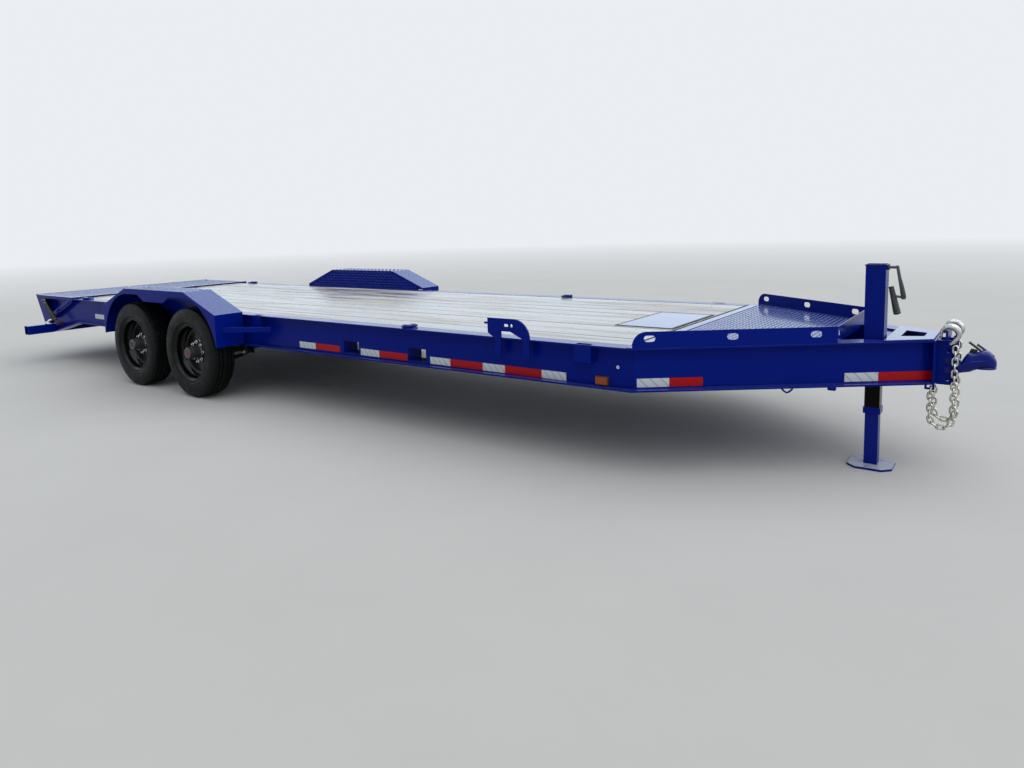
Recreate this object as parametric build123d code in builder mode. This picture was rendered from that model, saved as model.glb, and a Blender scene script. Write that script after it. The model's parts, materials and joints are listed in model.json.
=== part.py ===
from build123d import *
from math import atan, cos, hypot, pi, radians, sin, tan
import os

os.makedirs("parts", exist_ok=True)

# Driving sizes, millimetres. X points forward, Y left, Z up, the tyres stand on Z = 0
rail_half_width = 1050
fender_width = 245.5
nose_reach = 5920
tail_reach = 3130
tyre_radius = 377
rail_depth = 254
rail_over_axle = 6
axle_tube_r = 60
axle_z = tyre_radius
deck_height = axle_z + axle_tube_r + rail_over_axle + rail_depth
overall_width = 2 * (rail_half_width + fender_width)
axle_x = (tail_reach - nose_reach) / 2

# Where things lie along X, from the coupler's tip, the ramps' rear edge or the middle between the axles
coupler_tip_x = axle_x + nose_reach
ramp_rear_x = axle_x - tail_reach
nose_rear_x = coupler_tip_x - 270
bend_x = coupler_tip_x - 1532
deck_front_x = bend_x - 38
deck_rear_x = ramp_rear_x + 942
tail_bend_x = ramp_rear_x + 1030
bumper_rear_x = ramp_rear_x + 290
pivot_x = ramp_rear_x + 185
jack_x = nose_rear_x - 266

# Beams
flange_width = 102
flange_thick = 10
web_thick = 7
neck_depth = 233
taper_start_x = axle_x + 1000
nose_half_width = 141.4
neck_angle = atan((rail_half_width - nose_half_width) / (nose_rear_x - bend_x))
web_y = rail_half_width - flange_width / 2
rail_bottom = deck_height - rail_depth
neck_bottom = deck_height - neck_depth

# Wheels and axles
axle_spread = 924
wheel_y = rail_half_width + 124
tyre_width = 211
rim_radius = 238
hub_end_y = rail_half_width + 238
stud_circle_r = 82.55
stud_count = 8

# Fender
fender_top_z = deck_height + 189
fender_bend_z = deck_height + 20
fender_bottom_z = deck_height - 239
fender_top_half = axle_spread / 2 + 27
fender_half = axle_spread / 2 + 465
arch_radius = tyre_radius + 83
arch_dip_half = 160
arch_dip_z = deck_height + 83
arch_shoulder_half = axle_spread / 2 - 192
fender_sheet = 5

# Bumper and ramps
bumper_depth = 100
bumper_bottom = deck_height - 391
bumper_top = deck_height - 297
ramp_top = deck_height + 15
ramp_tip_gap = 12
ramp_tip_thick = 25
pivot_z = bumper_top
pivot_r = 11
knuckle_r = 19
pin_clearance = 0.5
ramp_inner_y = 15
ramp_outer_y = rail_half_width - 5
ramp_mid_y = (ramp_inner_y + ramp_outer_y) / 2
ramp_width = ramp_outer_y - ramp_inner_y
ramp_sheet = 6

# Deck
board_thick = 40
board_count = 10
board_gap = 4
cross_depth = 76
cross_width = 38
cross_pitch = 406
cross_first_x = deck_front_x - 240
cross_last_room = 60
cross_count = int((cross_first_x - deck_rear_x - cross_last_room) / cross_pitch) + 1

# Jack
jack_y = -180
jack_outer = 96
jack_wall = 5
jack_top = deck_height + 395
jack_outer_bottom = neck_bottom - 8
jack_step = 6
jack_lower = 74
jack_lower_wall = 3.5
jack_lower_top = deck_height - 70
jack_tube_bottom = deck_height - 375
jack_leg_size = 66
jack_leg_top = deck_height - 7
foot_size = 220
foot_thick = 12
foot_clip = 45
collar_height = 30
collar_wide = 10
collar_lap = 4

# Fits and small sizes
seat_gap = 0.3
seam = 0.05
side_clear = 1
stake_xs = (axle_x + 1110, deck_front_x - 260)
stake_width = 105
stake_out = (flange_width - web_thick) / 2
stake_deep = 90
stake_wall = 6
fork_xs = (deck_front_x - 2190, deck_front_x - 1548)
fork_z = rail_bottom + 74
fork_width = 160
fork_height = 88
fork_depth = 120
fork_wall = 4
cross_sheet = 5
tray_beam_x = bend_x + 442
tray_front_x = bend_x + 862
winch_x = deck_front_x - 240
winch_length = 360
winch_width = 660
winch_sheet = 8
winch_proud = 3
dovetail_sheet = 5
dovetail_tube = 50
dovetail_tube_shares = (0.28, 0.6, 0.93)
bumper_sheet = 6
lamp_ys = (rail_half_width + 100, rail_half_width - 330)
lamp_width = 165
lamp_height = 60
lamp_depth = 10
small_lamp_pitch = 75
small_lamp_width = 64
small_lamp_height = 24

# Ramp hinges and grip bars
hinge_pitch = 0.37 * ramp_width
hinge_ys = (ramp_mid_y - hinge_pitch, ramp_mid_y, ramp_mid_y + hinge_pitch)
knuckle_length = 60
pin_half = 92
lug_drop = 40
lug_clear = 3
lug_flat = 2
rib_back = 14
side_rim = 34
side_leg = 190
end_clear = 75
grip_start = 120
grip_pitch = 92
grip_count = 7
grip_width = 40
grip_height = 8

# Ramp springs beside the tail
coil_y = rail_half_width + 35
coil_low_x = bumper_rear_x + 314
coil_low_z = bumper_top + 24
coil_high_x = bumper_rear_x + 10
coil_high_z = deck_height - 41
coil_r = 21
coil_rod_r = 8
coil_eye_r = 20
coil_eye_half = 10
coil_bolt_r = 12
coil_share = (0.16, 0.84)

# Fender details
arch_low_angle = 11
fender_wall_z = deck_height + 3
guard_fender_y = overall_width / 2 - 51.5
guard_rail_x = axle_x + fender_half + 366
guard_z = deck_height - 102
guard_height = 40
guard_width = 12

# Tray, spare mount and rings
tray_sheet = 4
tray_wall_height = 88
tray_wall_start = 2
tray_corner = 75
tray_hole_z = deck_height + 51
tray_hole_runs = (93, 523, 953)
tray_hole_width = 59
tray_hole_height = 33
tray_notch_in = 40
tray_notch_width = 40
tray_notch_height = 25
spare_x = deck_front_x - 902
spare_width = 299
spare_top = deck_height + 115
spare_bottom = deck_height - 112
spare_round = 110
spare_leg = 46
spare_thick = 10
spare_back_drop = 90
spare_step = 50
spare_step_drop = 5
spare_window_rise = 76
spare_slot_x = 135
spare_slot_drop = 40
spare_slot_length = 36
spare_slot_height = 16
spare_hole_x = 174
spare_hole_r = 10
spare_hook_drop = 32
spare_hook_r = 7
spare_hook_length = 24
ring_xs = (deck_rear_x + 218, deck_front_x - 1620)
ring_y = rail_half_width - 50
ring_clip = 60
ring_clip_wide = 40
ring_stock = 12
ring_wall = 4
ring_span = 40
ring_wide = 80

# Nose and coupler
nose_sheet = 10
top_sheet = 8
channel_deep = 88
channel_half = 62
channel_wall = 10
channel_drop = 10
channel_top_drop = 8
hole_pitch = 50
channel_hole_r = 10
channel_holes_count = 4
channel_hole_share = 0.6
channel_first_hole = 20
access_x = nose_rear_x - 155
access_length = 105
access_rear_half = 110
access_front_half = 65
top_plate_gap = 8
ball_z = neck_bottom + 116
socket_r = 29.9
socket_outer_r = 46
socket_rim_z = ball_z - 35
coupler_neck_x = coupler_tip_x - 155
coupler_neck_half = 48
coupler_body_rise = 24
coupler_lip = 8
coupler_lip_out = 5
coupler_shank_bottom = neck_bottom + 41
coupler_shank_top = neck_bottom + 150
coupler_heel_drop = 16
latch_half = 12
latch_foot_back = 92
latch_foot_length = 56
latch_plate = 12
lever_back = 62
lever_rise = 52
lever_thick = 9
lever_y = 9
hanger_x = nose_rear_x + 60
hanger_tab_half = 116
hanger_tab_thick = 10
hanger_tab_top = deck_height + 52

# Chains, their hooks and anchors
chain_x = nose_rear_x - 10
chain_y = 90
chain_top_z = neck_bottom - 24
chain_pitch = 32
chain_stock = 9
chain_wide = 34
chain_down = 5
chain_turn = 5
chain_up = 12
link_waist = 0.55
link_hole_share = 0.84
hook_ring_r = 44
hook_stock_r = 16
hook_tip_angle = 196
hook_tail_angle = -32
hook_back = 20
hook_eye_x = 16
hook_eye_y = 24
staple_stock = 10
staple_rear = 28
staple_front = 18

# Crank
crank_drop = 25
crank_shaft_r = 9
crank_shaft_length = 62
crank_arm_x = 46
crank_arm_thick = 8
crank_arm_width = 18
crank_arm_length = 165
crank_lean = 14
crank_knob_r = 10
crank_knob_length = 42
handle_r = 20
handle_top = 100
handle_length = 140
handle_y = 28
handle_rod_r = 7

# Springs
spring_half = axle_spread / 2 - 81
spring_arch = 68
spring_seat = 8
spring_y = rail_half_width - 80
spring_wide = 60
leaf_thick = 8
leaf_halves = (spring_half, 330, 260, 190, 120)
eye_r = 18
eye_pin_r = 9
seat_length = 130
hanger_sheet = 8
hanger_half = 30
hanger_side = 1
hanger_lap = 26

# Axle ends and wheels
backing_y = rail_half_width + 0.6
backing_thick = 4
backing_r = 158
spindle_r = 28
spindle_end_y = rail_half_width + 175
spindle_clear = 0.5
bead_half = 82
bead_r = 222
belly_r = 300
tread_half = 84
rim_sheet = 6
rim_half = 95
rim_flange = 12
rim_bead_in = 2
well_r = 205
well_in = 14
well_rise = 8
dish_outer_x = 36
dish_outer_drop = 2
dish_bend_x = 10
dish_bend_drop = 12
dish_low_x = -2
dish_low_drop = 60
dish_back_x = -12
dish_back_drop = 8
disc_out = -4
disc_thick = 14
bolt_face_r = 112
pilot_r = 60
stud_r = 8
stud_tip = 5
nut_r = 13
nut_length = 30
drum_r = 165
drum_wall = 16
drum_in = -112
drum_hub_r = 50
drum_web = -40
drum_open = -114
cap_r = 50
cap_end = 96
cap_root = 16
cap_step = 6
cap_round = 8
spindle_room = 56

# Marker lamps
marker_width = 86
marker_depth = 20
marker_round = 8
amber_x = bend_x - 200
amber_z = neck_bottom + 36
amber_height = 52
red_x = bumper_rear_x + 190
red_z = bumper_top
red_height = 40


def rail_plane(side):
    """Upright plane along a main rail's web, local x forward and local y up."""
    return Plane(origin=(0, side * web_y, 0), x_dir=(1, 0, 0), z_dir=(0, -1, 0))


def upright_plane(y):
    """Upright plane across Y at the given place, local x forward and local y up."""
    return Plane(origin=(0, y, 0), x_dir=(1, 0, 0), z_dir=(0, -1, 0))


def save(builder, label):
    builder.part.label = label
    export_step(builder.part, "parts/" + label + ".step")


# Slope of the dovetail and of the ramps' underside, which lie on each other
ramp_tip_x = deck_rear_x - ramp_tip_gap
slope_half_gap = 8
tail_run = ramp_tip_x - pivot_x
tail_drop = ramp_top - ramp_tip_thick - slope_half_gap - pivot_z
tail_slope = tail_drop / tail_run


def tail_z(x, lift):
    """Height of the dovetail's slope plane at x, raised by lift."""
    return pivot_z + (x - pivot_x) * tail_slope + lift


# Main rails, built of plates, with tails that slope down to the bumper: webs with the fork windows
bumper_front_x = bumper_rear_x + bumper_depth
mitre_half = neck_angle / 2
mitre_near = Plane(origin=(bend_x, -rail_half_width, 0), z_dir=(cos(mitre_half), sin(mitre_half), 0))
rail_front_x = bend_x + flange_width
rail_tops = [
    (bumper_front_x, tail_z(bumper_front_x, -slope_half_gap)),
    (ramp_tip_x, tail_z(ramp_tip_x, -slope_half_gap)),
    (deck_rear_x, deck_height),
    (rail_front_x, deck_height),
]
rail_bottoms = [
    (bumper_front_x, bumper_bottom),
    (tail_bend_x, rail_bottom),
    (taper_start_x, rail_bottom),
    (rail_front_x, neck_bottom),
]
web_seams = [tail_bend_x] + [x + end * (fork_width / 2 + seam / 2) for x in fork_xs for end in (-1, 1)]
top_seams = [deck_rear_x + board_gap] + [
    x + end * (stake_width / 2 - stake_wall + seam / 2) for x in stake_xs for end in (-1, 1)
]
bottom_seams = [tail_bend_x, taper_start_x]


def seam_cuts(seams):
    """Narrow cuts across a rail at the given places, where its plates butt."""
    with BuildPart(mode=Mode.PRIVATE) as cuts:
        with Locations(*[(x, 0, deck_height / 2) for x in seams]):
            Box(seam, overall_width, overall_width)
    return cuts.part


web_tops = [(x, z - flange_thick - seat_gap) for x, z in rail_tops]
web_bottoms = [(x, z + flange_thick + seat_gap) for x, z in rail_bottoms]
with BuildPart() as rail_webs:
    with BuildSketch(rail_plane(-1)) as rail_web:
        with BuildLine():
            Polyline(*web_tops, *reversed(web_bottoms), close=True)
        make_face()
        with Locations(*[(x, fork_z) for x in fork_xs]):
            Rectangle(fork_width, fork_height, mode=Mode.SUBTRACT)
    extrude(amount=web_thick / 2, both=True)
    split(bisect_by=mitre_near, keep=Keep.BOTTOM)
    mirror(about=Plane.XZ)
    add(seam_cuts(web_seams), mode=Mode.SUBTRACT)
save(rail_webs, "rail_webs")

# Top flanges with the slots over the stake pockets
stake_plan_y = rail_half_width - stake_out / 2
with BuildPart() as rail_top_flanges:
    with BuildSketch(rail_plane(-1)) as top_flange:
        with BuildLine():
            Polyline(*rail_tops, *[(x, z - flange_thick) for x, z in reversed(rail_tops)], close=True)
        make_face()
    extrude(amount=flange_width / 2, both=True)
    with BuildSketch(Plane.XY.offset(deck_height)) as stake_slots:
        with Locations(*[(x, -stake_plan_y) for x in stake_xs]):
            Rectangle(stake_width - 2 * stake_wall, stake_out - 2 * stake_wall)
    extrude(amount=-flange_thick, mode=Mode.SUBTRACT)
    split(bisect_by=mitre_near, keep=Keep.BOTTOM)
    mirror(about=Plane.XZ)
    add(seam_cuts(top_seams), mode=Mode.SUBTRACT)
save(rail_top_flanges, "rail_top_flanges")

# Bottom flanges, which rise with the taper
with BuildPart() as rail_bottom_flanges:
    with BuildSketch(rail_plane(-1)) as bottom_flange:
        with BuildLine():
            Polyline(*rail_bottoms, *[(x, z + flange_thick) for x, z in reversed(rail_bottoms)], close=True)
        make_face()
    extrude(amount=flange_width / 2, both=True)
    split(bisect_by=mitre_near, keep=Keep.BOTTOM)
    mirror(about=Plane.XZ)
    add(seam_cuts(bottom_seams), mode=Mode.SUBTRACT)
save(rail_bottom_flanges, "rail_bottom_flanges")

# Neck beams, mitred to the rails and closing in towards the nose, notched round the jack
neck_run = (nose_rear_x - bend_x) / cos(neck_angle)
neck_along = Vector(cos(neck_angle), sin(neck_angle), 0)
neck_across = Vector(-sin(neck_angle), cos(neck_angle), 0)
neck_corner = Vector(bend_x, -rail_half_width, 0)
neck_web_plane = Plane(
    origin=neck_corner + neck_across * (flange_width / 2),
    x_dir=neck_along,
    z_dir=(neck_along.Y, -neck_along.X, 0),
)


def neck_outer_y(x):
    """Half width of the neck over its outer flange edges at x."""
    return rail_half_width - tan(neck_angle) * (x - bend_x)


def neck_web_y(x):
    """Half width between the inner faces of the neck's webs at x."""
    return neck_outer_y(x) - (flange_width + web_thick) / 2 / cos(neck_angle)


with BuildPart() as neck_beams:
    with BuildSketch(neck_web_plane) as neck_web:
        with Locations((neck_run / 2, (deck_height + neck_bottom) / 2)):
            Rectangle(neck_run + 2 * flange_width, neck_depth)
    extrude(amount=web_thick / 2, both=True)
    with BuildSketch(neck_web_plane) as neck_flanges:
        with Locations(
            (neck_run / 2, deck_height - flange_thick / 2), (neck_run / 2, neck_bottom + flange_thick / 2)
        ):
            Rectangle(neck_run + 2 * flange_width, flange_thick)
    extrude(amount=flange_width / 2, both=True)
    split(bisect_by=mitre_near, keep=Keep.TOP)
    split(bisect_by=Plane(origin=(nose_rear_x, 0, 0), z_dir=(1, 0, 0)), keep=Keep.BOTTOM)
    mirror(about=Plane.XZ)
    with BuildSketch(Plane.XY.offset(deck_height)) as jack_notch:
        with Locations((jack_x, jack_y)):
            Rectangle(jack_outer + 2 * seat_gap, jack_outer + 2 * seat_gap)
    extrude(amount=-neck_depth, mode=Mode.SUBTRACT)
save(neck_beams, "neck_beams")

# Crossmembers, channels between the rails that carry the boards
board_bottom = deck_height - board_thick
web_inner_y = web_y - web_thick / 2
with BuildPart() as crossmembers:
    with BuildSketch(Plane.XZ) as channels:
        with Locations(*[
            (cross_first_x - i * cross_pitch, board_bottom - cross_depth / 2) for i in range(cross_count)
        ]):
            Rectangle(cross_width, cross_depth)
            with Locations((cross_sheet, 0)):
                Rectangle(cross_width, cross_depth - 2 * cross_sheet, mode=Mode.SUBTRACT)
    extrude(amount=web_inner_y, both=True)
save(crossmembers, "crossmembers")

# Deep beams across the frame: at the bend, under the tray and beside the jack
with BuildPart() as cross_beams:
    for beam_x, top, bottom in (
        (bend_x - cross_width, board_bottom, neck_bottom + flange_thick),
        (tray_beam_x, deck_height - flange_thick, neck_bottom + flange_thick),
    ):
        half = min(web_inner_y, neck_web_y(beam_x + cross_width / 2))
        with BuildSketch(Plane.XZ) as beam:
            with Locations((beam_x, (top + bottom) / 2)):
                Rectangle(cross_width, top - bottom)
                with Locations((cross_sheet, 0)):
                    Rectangle(cross_width, top - bottom - 2 * cross_sheet, mode=Mode.SUBTRACT)
        extrude(amount=half, both=True)
    jack_beam_start = jack_y + jack_outer / 2 + seat_gap
    jack_beam_depth = neck_depth - 2 * flange_thick
    with BuildSketch(Plane.XZ.offset(-jack_beam_start)) as jack_beam:
        with Locations((jack_x, (deck_height + neck_bottom) / 2)):
            Rectangle(jack_outer, jack_beam_depth)
            Rectangle(jack_outer - 2 * cross_sheet, jack_beam_depth - 2 * cross_sheet, mode=Mode.SUBTRACT)
    extrude(amount=-(neck_web_y(jack_x + jack_outer / 2) - jack_beam_start))
save(cross_beams, "cross_beams")

# Deck boards between the rails' top flanges, cut out round the winch plate
boards_width = 2 * (rail_half_width - flange_width)
board_pitch = boards_width / board_count
with BuildPart() as deck_boards:
    with BuildSketch(Plane.XY.offset(board_bottom)) as boards:
        with Locations(*[
            ((deck_rear_x + deck_front_x) / 2, -boards_width / 2 + (i + 0.5) * board_pitch)
            for i in range(board_count)
        ]):
            Rectangle(deck_front_x - deck_rear_x, board_pitch - board_gap)
        with Locations((winch_x, 0)):
            Rectangle(winch_length + 2 * board_gap, winch_width + 2 * board_gap, mode=Mode.SUBTRACT)
    extrude(amount=board_thick)
save(deck_boards, "deck_boards")

# Winch plate, a flush plate on a rim that stands on the crossmember
winch_top = deck_height + winch_proud
with BuildPart() as winch_plate:
    with BuildSketch(Plane.XY.offset(winch_top - winch_sheet)) as winch_sheet_plan:
        with Locations((winch_x, 0)):
            Rectangle(winch_length, winch_width)
    extrude(amount=winch_sheet)
    with BuildSketch(Plane.XY.offset(board_bottom)) as winch_rim:
        with Locations((winch_x, 0)):
            Rectangle(winch_length - 2 * winch_sheet, winch_width - 2 * winch_sheet)
            Rectangle(winch_length - 4 * winch_sheet, winch_width - 4 * winch_sheet, mode=Mode.SUBTRACT)
    extrude(amount=winch_top - winch_sheet - board_bottom)
save(winch_plate, "winch_plate")

# Dovetail, a sloping sheet between the rails' tails with tubes under it
slope_plane = Plane(origin=(pivot_x, 0, pivot_z), x_dir=(1, 0, tail_slope), z_dir=(-tail_slope, 0, 1))
slope_factor = hypot(1, tail_slope)
slope_start = (bumper_rear_x - pivot_x) * slope_factor
slope_end = tail_run * slope_factor
slope_low = -slope_half_gap
with BuildPart() as dovetail:
    with BuildSketch(slope_plane.offset(slope_low)) as slope_sheet:
        with Locations(((slope_start + slope_end) / 2, 0)):
            Rectangle(slope_end - slope_start, boards_width - 2 * seat_gap)
    extrude(amount=-dovetail_sheet)
    with BuildSketch(slope_plane.offset(slope_low - dovetail_sheet)) as slope_tubes:
        with Locations(*[
            (slope_start + share * (slope_end - slope_start), 0) for share in dovetail_tube_shares
        ]):
            Rectangle(dovetail_tube, boards_width - 2 * seat_gap)
    extrude(amount=-dovetail_tube)
save(dovetail, "dovetail")

# Bumper, an open ended box beam over the full width
bumper_mid_x = bumper_rear_x + bumper_depth / 2
bumper_mid_z = (bumper_bottom + bumper_top) / 2
with BuildPart() as bumper:
    with BuildSketch(Plane.XZ) as bumper_box:
        with Locations((bumper_mid_x, bumper_mid_z)):
            Rectangle(bumper_depth, bumper_top - bumper_bottom)
            Rectangle(
                bumper_depth - 2 * bumper_sheet, bumper_top - bumper_bottom - 2 * bumper_sheet,
                mode=Mode.SUBTRACT,
            )
    extrude(amount=overall_width / 2, both=True)
save(bumper, "bumper")

# Tail lamps on the bumper's rear face: outer and inner ovals and three small ones in the middle
lamp_plane = Plane(origin=(bumper_rear_x, 0, bumper_mid_z), x_dir=(0, 1, 0), z_dir=(-1, 0, 0))
with BuildPart() as tail_lamps:
    with BuildSketch(lamp_plane) as lamps:
        with Locations(*[(side * y, 0) for side in (-1, 1) for y in lamp_ys]):
            SlotOverall(lamp_width, lamp_height)
        with Locations(*[(i * small_lamp_pitch, 0) for i in (-1, 0, 1)]):
            SlotOverall(small_lamp_width, small_lamp_height)
    extrude(amount=lamp_depth)
save(tail_lamps, "tail_lamps")

# Ramp hinges on the frame: a knuckle with its pin, on a lug that stands on the bumper
knuckle_half = knuckle_length / 2
with BuildPart() as ramp_hinges:
    for station in hinge_ys:
        with BuildSketch(upright_plane(-station)) as knuckle:
            with Locations((pivot_x, pivot_z)):
                Circle(knuckle_r)
            with BuildLine():
                Polyline(
                    (pivot_x, pivot_z + knuckle_r - lug_flat),
                    (pivot_x, pivot_z - knuckle_r + lug_flat),
                    (bumper_rear_x - seat_gap, bumper_top - lug_drop),
                    (bumper_rear_x - seat_gap, bumper_top + seat_gap),
                    (bumper_front_x, bumper_top + seat_gap),
                    (bumper_front_x, tail_z(bumper_front_x, slope_low - dovetail_sheet - lug_clear)),
                    (bumper_rear_x, tail_z(bumper_rear_x, slope_low - dovetail_sheet - lug_clear)),
                    close=True,
                )
            make_face()
        extrude(amount=knuckle_half, both=True)
        with BuildSketch(upright_plane(-station)) as hinge_pin:
            with Locations((pivot_x, pivot_z)):
                Circle(pivot_r)
        extrude(amount=pin_half, both=True)
    mirror(about=Plane.XZ)
save(ramp_hinges, "ramp_hinges")

# Ramps, wedges with sheet top, ribs, leaning end plate and grip bars underneath
under_lift = slope_half_gap
rear_low = (pivot_x - rib_back, tail_z(pivot_x - rib_back, under_lift))
wedge = [
    (ramp_tip_x, ramp_top - ramp_tip_thick),
    (ramp_tip_x, ramp_top),
    (ramp_rear_x, ramp_top),
    rear_low,
]
end_length = hypot(ramp_rear_x - rear_low[0], ramp_top - rear_low[1])
end_dir = Vector(ramp_rear_x - rear_low[0], 0, ramp_top - rear_low[1]) * (1 / end_length)
end_in = Vector(end_dir.Z, 0, -end_dir.X)
under_plane = slope_plane.offset(under_lift)
for side, label in ((-1, "ramp_right"), (1, "ramp_left")):
    with BuildPart() as ramp:
        with BuildSketch(Plane.XY.offset(ramp_top)) as ramp_sheet_plan:
            with Locations(((ramp_rear_x + ramp_tip_x) / 2, side * ramp_mid_y)):
                Rectangle(ramp_tip_x - ramp_rear_x, ramp_width)
        extrude(amount=-ramp_sheet)
        for rib_y in [ramp_inner_y + ramp_sheet / 2, ramp_outer_y - ramp_sheet / 2]:
            with BuildSketch(upright_plane(side * rib_y)) as side_plate:
                with BuildLine():
                    Polyline(*wedge, close=True)
                make_face()
                offset(amount=-side_rim, mode=Mode.SUBTRACT)
                with BuildLine():
                    Polyline(
                        wedge[2], wedge[3],
                        (wedge[3][0] + side_leg, tail_z(wedge[3][0] + side_leg, under_lift)),
                        (wedge[2][0] + side_leg, ramp_top), close=True,
                    )
                make_face()
            extrude(amount=ramp_sheet / 2, both=True)
        for station in hinge_ys:
            for step in (-1, 1):
                rib_y = station + step * (knuckle_half + side_clear + knuckle_half)
                with BuildSketch(upright_plane(side * rib_y)) as rib:
                    with BuildLine():
                        Polyline(*wedge, close=True)
                    make_face()
                extrude(amount=ramp_sheet / 2, both=True)
                with BuildSketch(upright_plane(side * rib_y)) as ramp_knuckle:
                    with Locations((pivot_x, pivot_z)):
                        Circle(knuckle_r)
                extrude(amount=knuckle_half, both=True)
        end_low = Vector(ramp_rear_x, 0, ramp_top) - end_dir * (end_length - end_clear)
        with BuildSketch(upright_plane(side * ramp_mid_y)) as end_plate:
            with BuildLine():
                Polyline(
                    wedge[2], (end_low.X, end_low.Z),
                    (end_low.X + end_in.X * ramp_sheet, end_low.Z + end_in.Z * ramp_sheet),
                    (ramp_rear_x + end_in.X * ramp_sheet, ramp_top + end_in.Z * ramp_sheet), close=True,
                )
            make_face()
        extrude(amount=ramp_width / 2, both=True)
        with BuildSketch(under_plane) as grip_bars:
            with Locations(*[(grip_start + i * grip_pitch, side * ramp_mid_y) for i in range(grip_count)]):
                Rectangle(grip_width, ramp_width)
        extrude(amount=grip_height)
        with BuildSketch(upright_plane(side * ramp_mid_y)) as hinge_bore:
            with Locations((pivot_x, pivot_z)):
                Circle(pivot_r + pin_clearance)
        extrude(amount=ramp_width / 2, both=True, mode=Mode.SUBTRACT)
    save(ramp, label)

# Ramp springs outboard of the tail, each on a bolt through the rail's web
coil_run = hypot(coil_high_x - coil_low_x, coil_high_z - coil_low_z)
coil_dir = Vector((coil_high_x - coil_low_x) / coil_run, 0, (coil_high_z - coil_low_z) / coil_run)
with BuildPart() as ramp_springs:
    coil_low = Vector(coil_low_x, -coil_y, coil_low_z)
    with BuildSketch(Plane(origin=coil_low, z_dir=coil_dir)) as rod:
        Circle(coil_rod_r)
    extrude(amount=coil_run)
    with BuildSketch(Plane(origin=coil_low + coil_dir * coil_run * coil_share[0], z_dir=coil_dir)) as coil:
        Circle(coil_r)
    extrude(amount=coil_run * (coil_share[1] - coil_share[0]))
    with BuildSketch(upright_plane(-coil_y)) as coil_eyes:
        with Locations((coil_low_x, coil_low_z), (coil_high_x, coil_high_z)):
            Circle(coil_eye_r)
    extrude(amount=coil_eye_half, both=True)
    with BuildSketch(upright_plane(-(web_y + web_thick / 2 + seat_gap))) as coil_bolt:
        with Locations((coil_low_x, coil_low_z)):
            Circle(coil_bolt_r)
    extrude(amount=coil_y + coil_eye_half - web_y)
    mirror(about=Plane.XZ)
save(ramp_springs, "ramp_springs")

# Drive-over fenders: folded top with closed ends, arched skirt outside, low wall beside the deck
fender_outer_y = overall_width / 2
fender_roof = [
    (axle_x - fender_half, fender_bottom_z),
    (axle_x - fender_half, fender_bend_z),
    (axle_x - fender_top_half, fender_top_z),
    (axle_x + fender_top_half, fender_top_z),
    (axle_x + fender_half, fender_bend_z),
    (axle_x + fender_half, fender_bottom_z),
]
half_spread = axle_spread / 2
arch_reach = (arch_radius**2 - (fender_bottom_z - axle_z) ** 2) ** 0.5
arch_crown_z = axle_z + arch_radius
fender_inner_y = rail_half_width + seat_gap
for side, label in ((-1, "fender_right"), (1, "fender_left")):
    with BuildPart() as fender:
        with BuildSketch(upright_plane(side * (fender_inner_y + fender_outer_y) / 2)) as roof:
            with BuildLine():
                Polyline(*fender_roof, close=True)
            make_face()
            offset(amount=-fender_sheet, mode=Mode.SUBTRACT)
            with Locations((axle_x, fender_bottom_z)):
                Rectangle(2 * (fender_half - fender_sheet), 4 * fender_sheet, mode=Mode.SUBTRACT)
        extrude(amount=(fender_outer_y - fender_inner_y) / 2, both=True)
        with BuildSketch(upright_plane(side * (fender_outer_y - fender_sheet / 2))) as skirt:
            with BuildLine():
                Polyline(*fender_roof, close=True)
            make_face()
            with BuildLine(mode=Mode.PRIVATE) as arches:
                front_arch = CenterArc(
                    (axle_x + half_spread, axle_z), arch_radius, start_angle=arch_low_angle,
                    arc_size=90 - arch_low_angle,
                )
                rear_arch = CenterArc(
                    (axle_x - half_spread, axle_z), arch_radius, start_angle=90, arc_size=90 - arch_low_angle,
                )
                Polyline(
                    front_arch @ 1, (axle_x + arch_shoulder_half, arch_crown_z),
                    (axle_x + arch_dip_half, arch_dip_z), (axle_x - arch_dip_half, arch_dip_z),
                    (axle_x - arch_shoulder_half, arch_crown_z), rear_arch @ 0,
                )
                Polyline(
                    rear_arch @ 1, ((rear_arch @ 1).X, fender_bottom_z - arch_radius),
                    ((front_arch @ 0).X, fender_bottom_z - arch_radius), front_arch @ 0,
                )
            add(make_face(arches.edges(), mode=Mode.PRIVATE), mode=Mode.SUBTRACT)
        extrude(amount=fender_sheet / 2, both=True)
        with BuildSketch(upright_plane(side * (fender_inner_y + fender_sheet / 2))) as side_wall:
            with BuildLine():
                Polyline(
                    *fender_roof[1:5], (fender_roof[4][0], fender_wall_z), (fender_roof[1][0], fender_wall_z),
                    close=True,
                )
            make_face()
        extrude(amount=fender_sheet / 2, both=True)
    save(fender, label)

# Guard bars from the fenders' front ends in to the front of the rear stake pockets
with BuildPart() as guard_bars:
    guard_start = Vector(axle_x + fender_half + seat_gap, -guard_fender_y, guard_z)
    guard_end = Vector(guard_rail_x, -(rail_half_width + seat_gap), guard_z)
    guard_dir = (guard_end - guard_start).normalized()
    with BuildSketch(Plane.XY.offset(guard_z - guard_height / 2)) as guard:
        with BuildLine():
            Polyline(
                (guard_start.X, guard_start.Y), (guard_end.X, guard_end.Y),
                (guard_end.X - guard_width / sin(abs(guard_dir.Y)), guard_end.Y),
                (guard_start.X, guard_start.Y + guard_width), close=True,
            )
        make_face()
    extrude(amount=guard_height)
    mirror(about=Plane.XZ)
save(guard_bars, "guard_bars")

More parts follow.
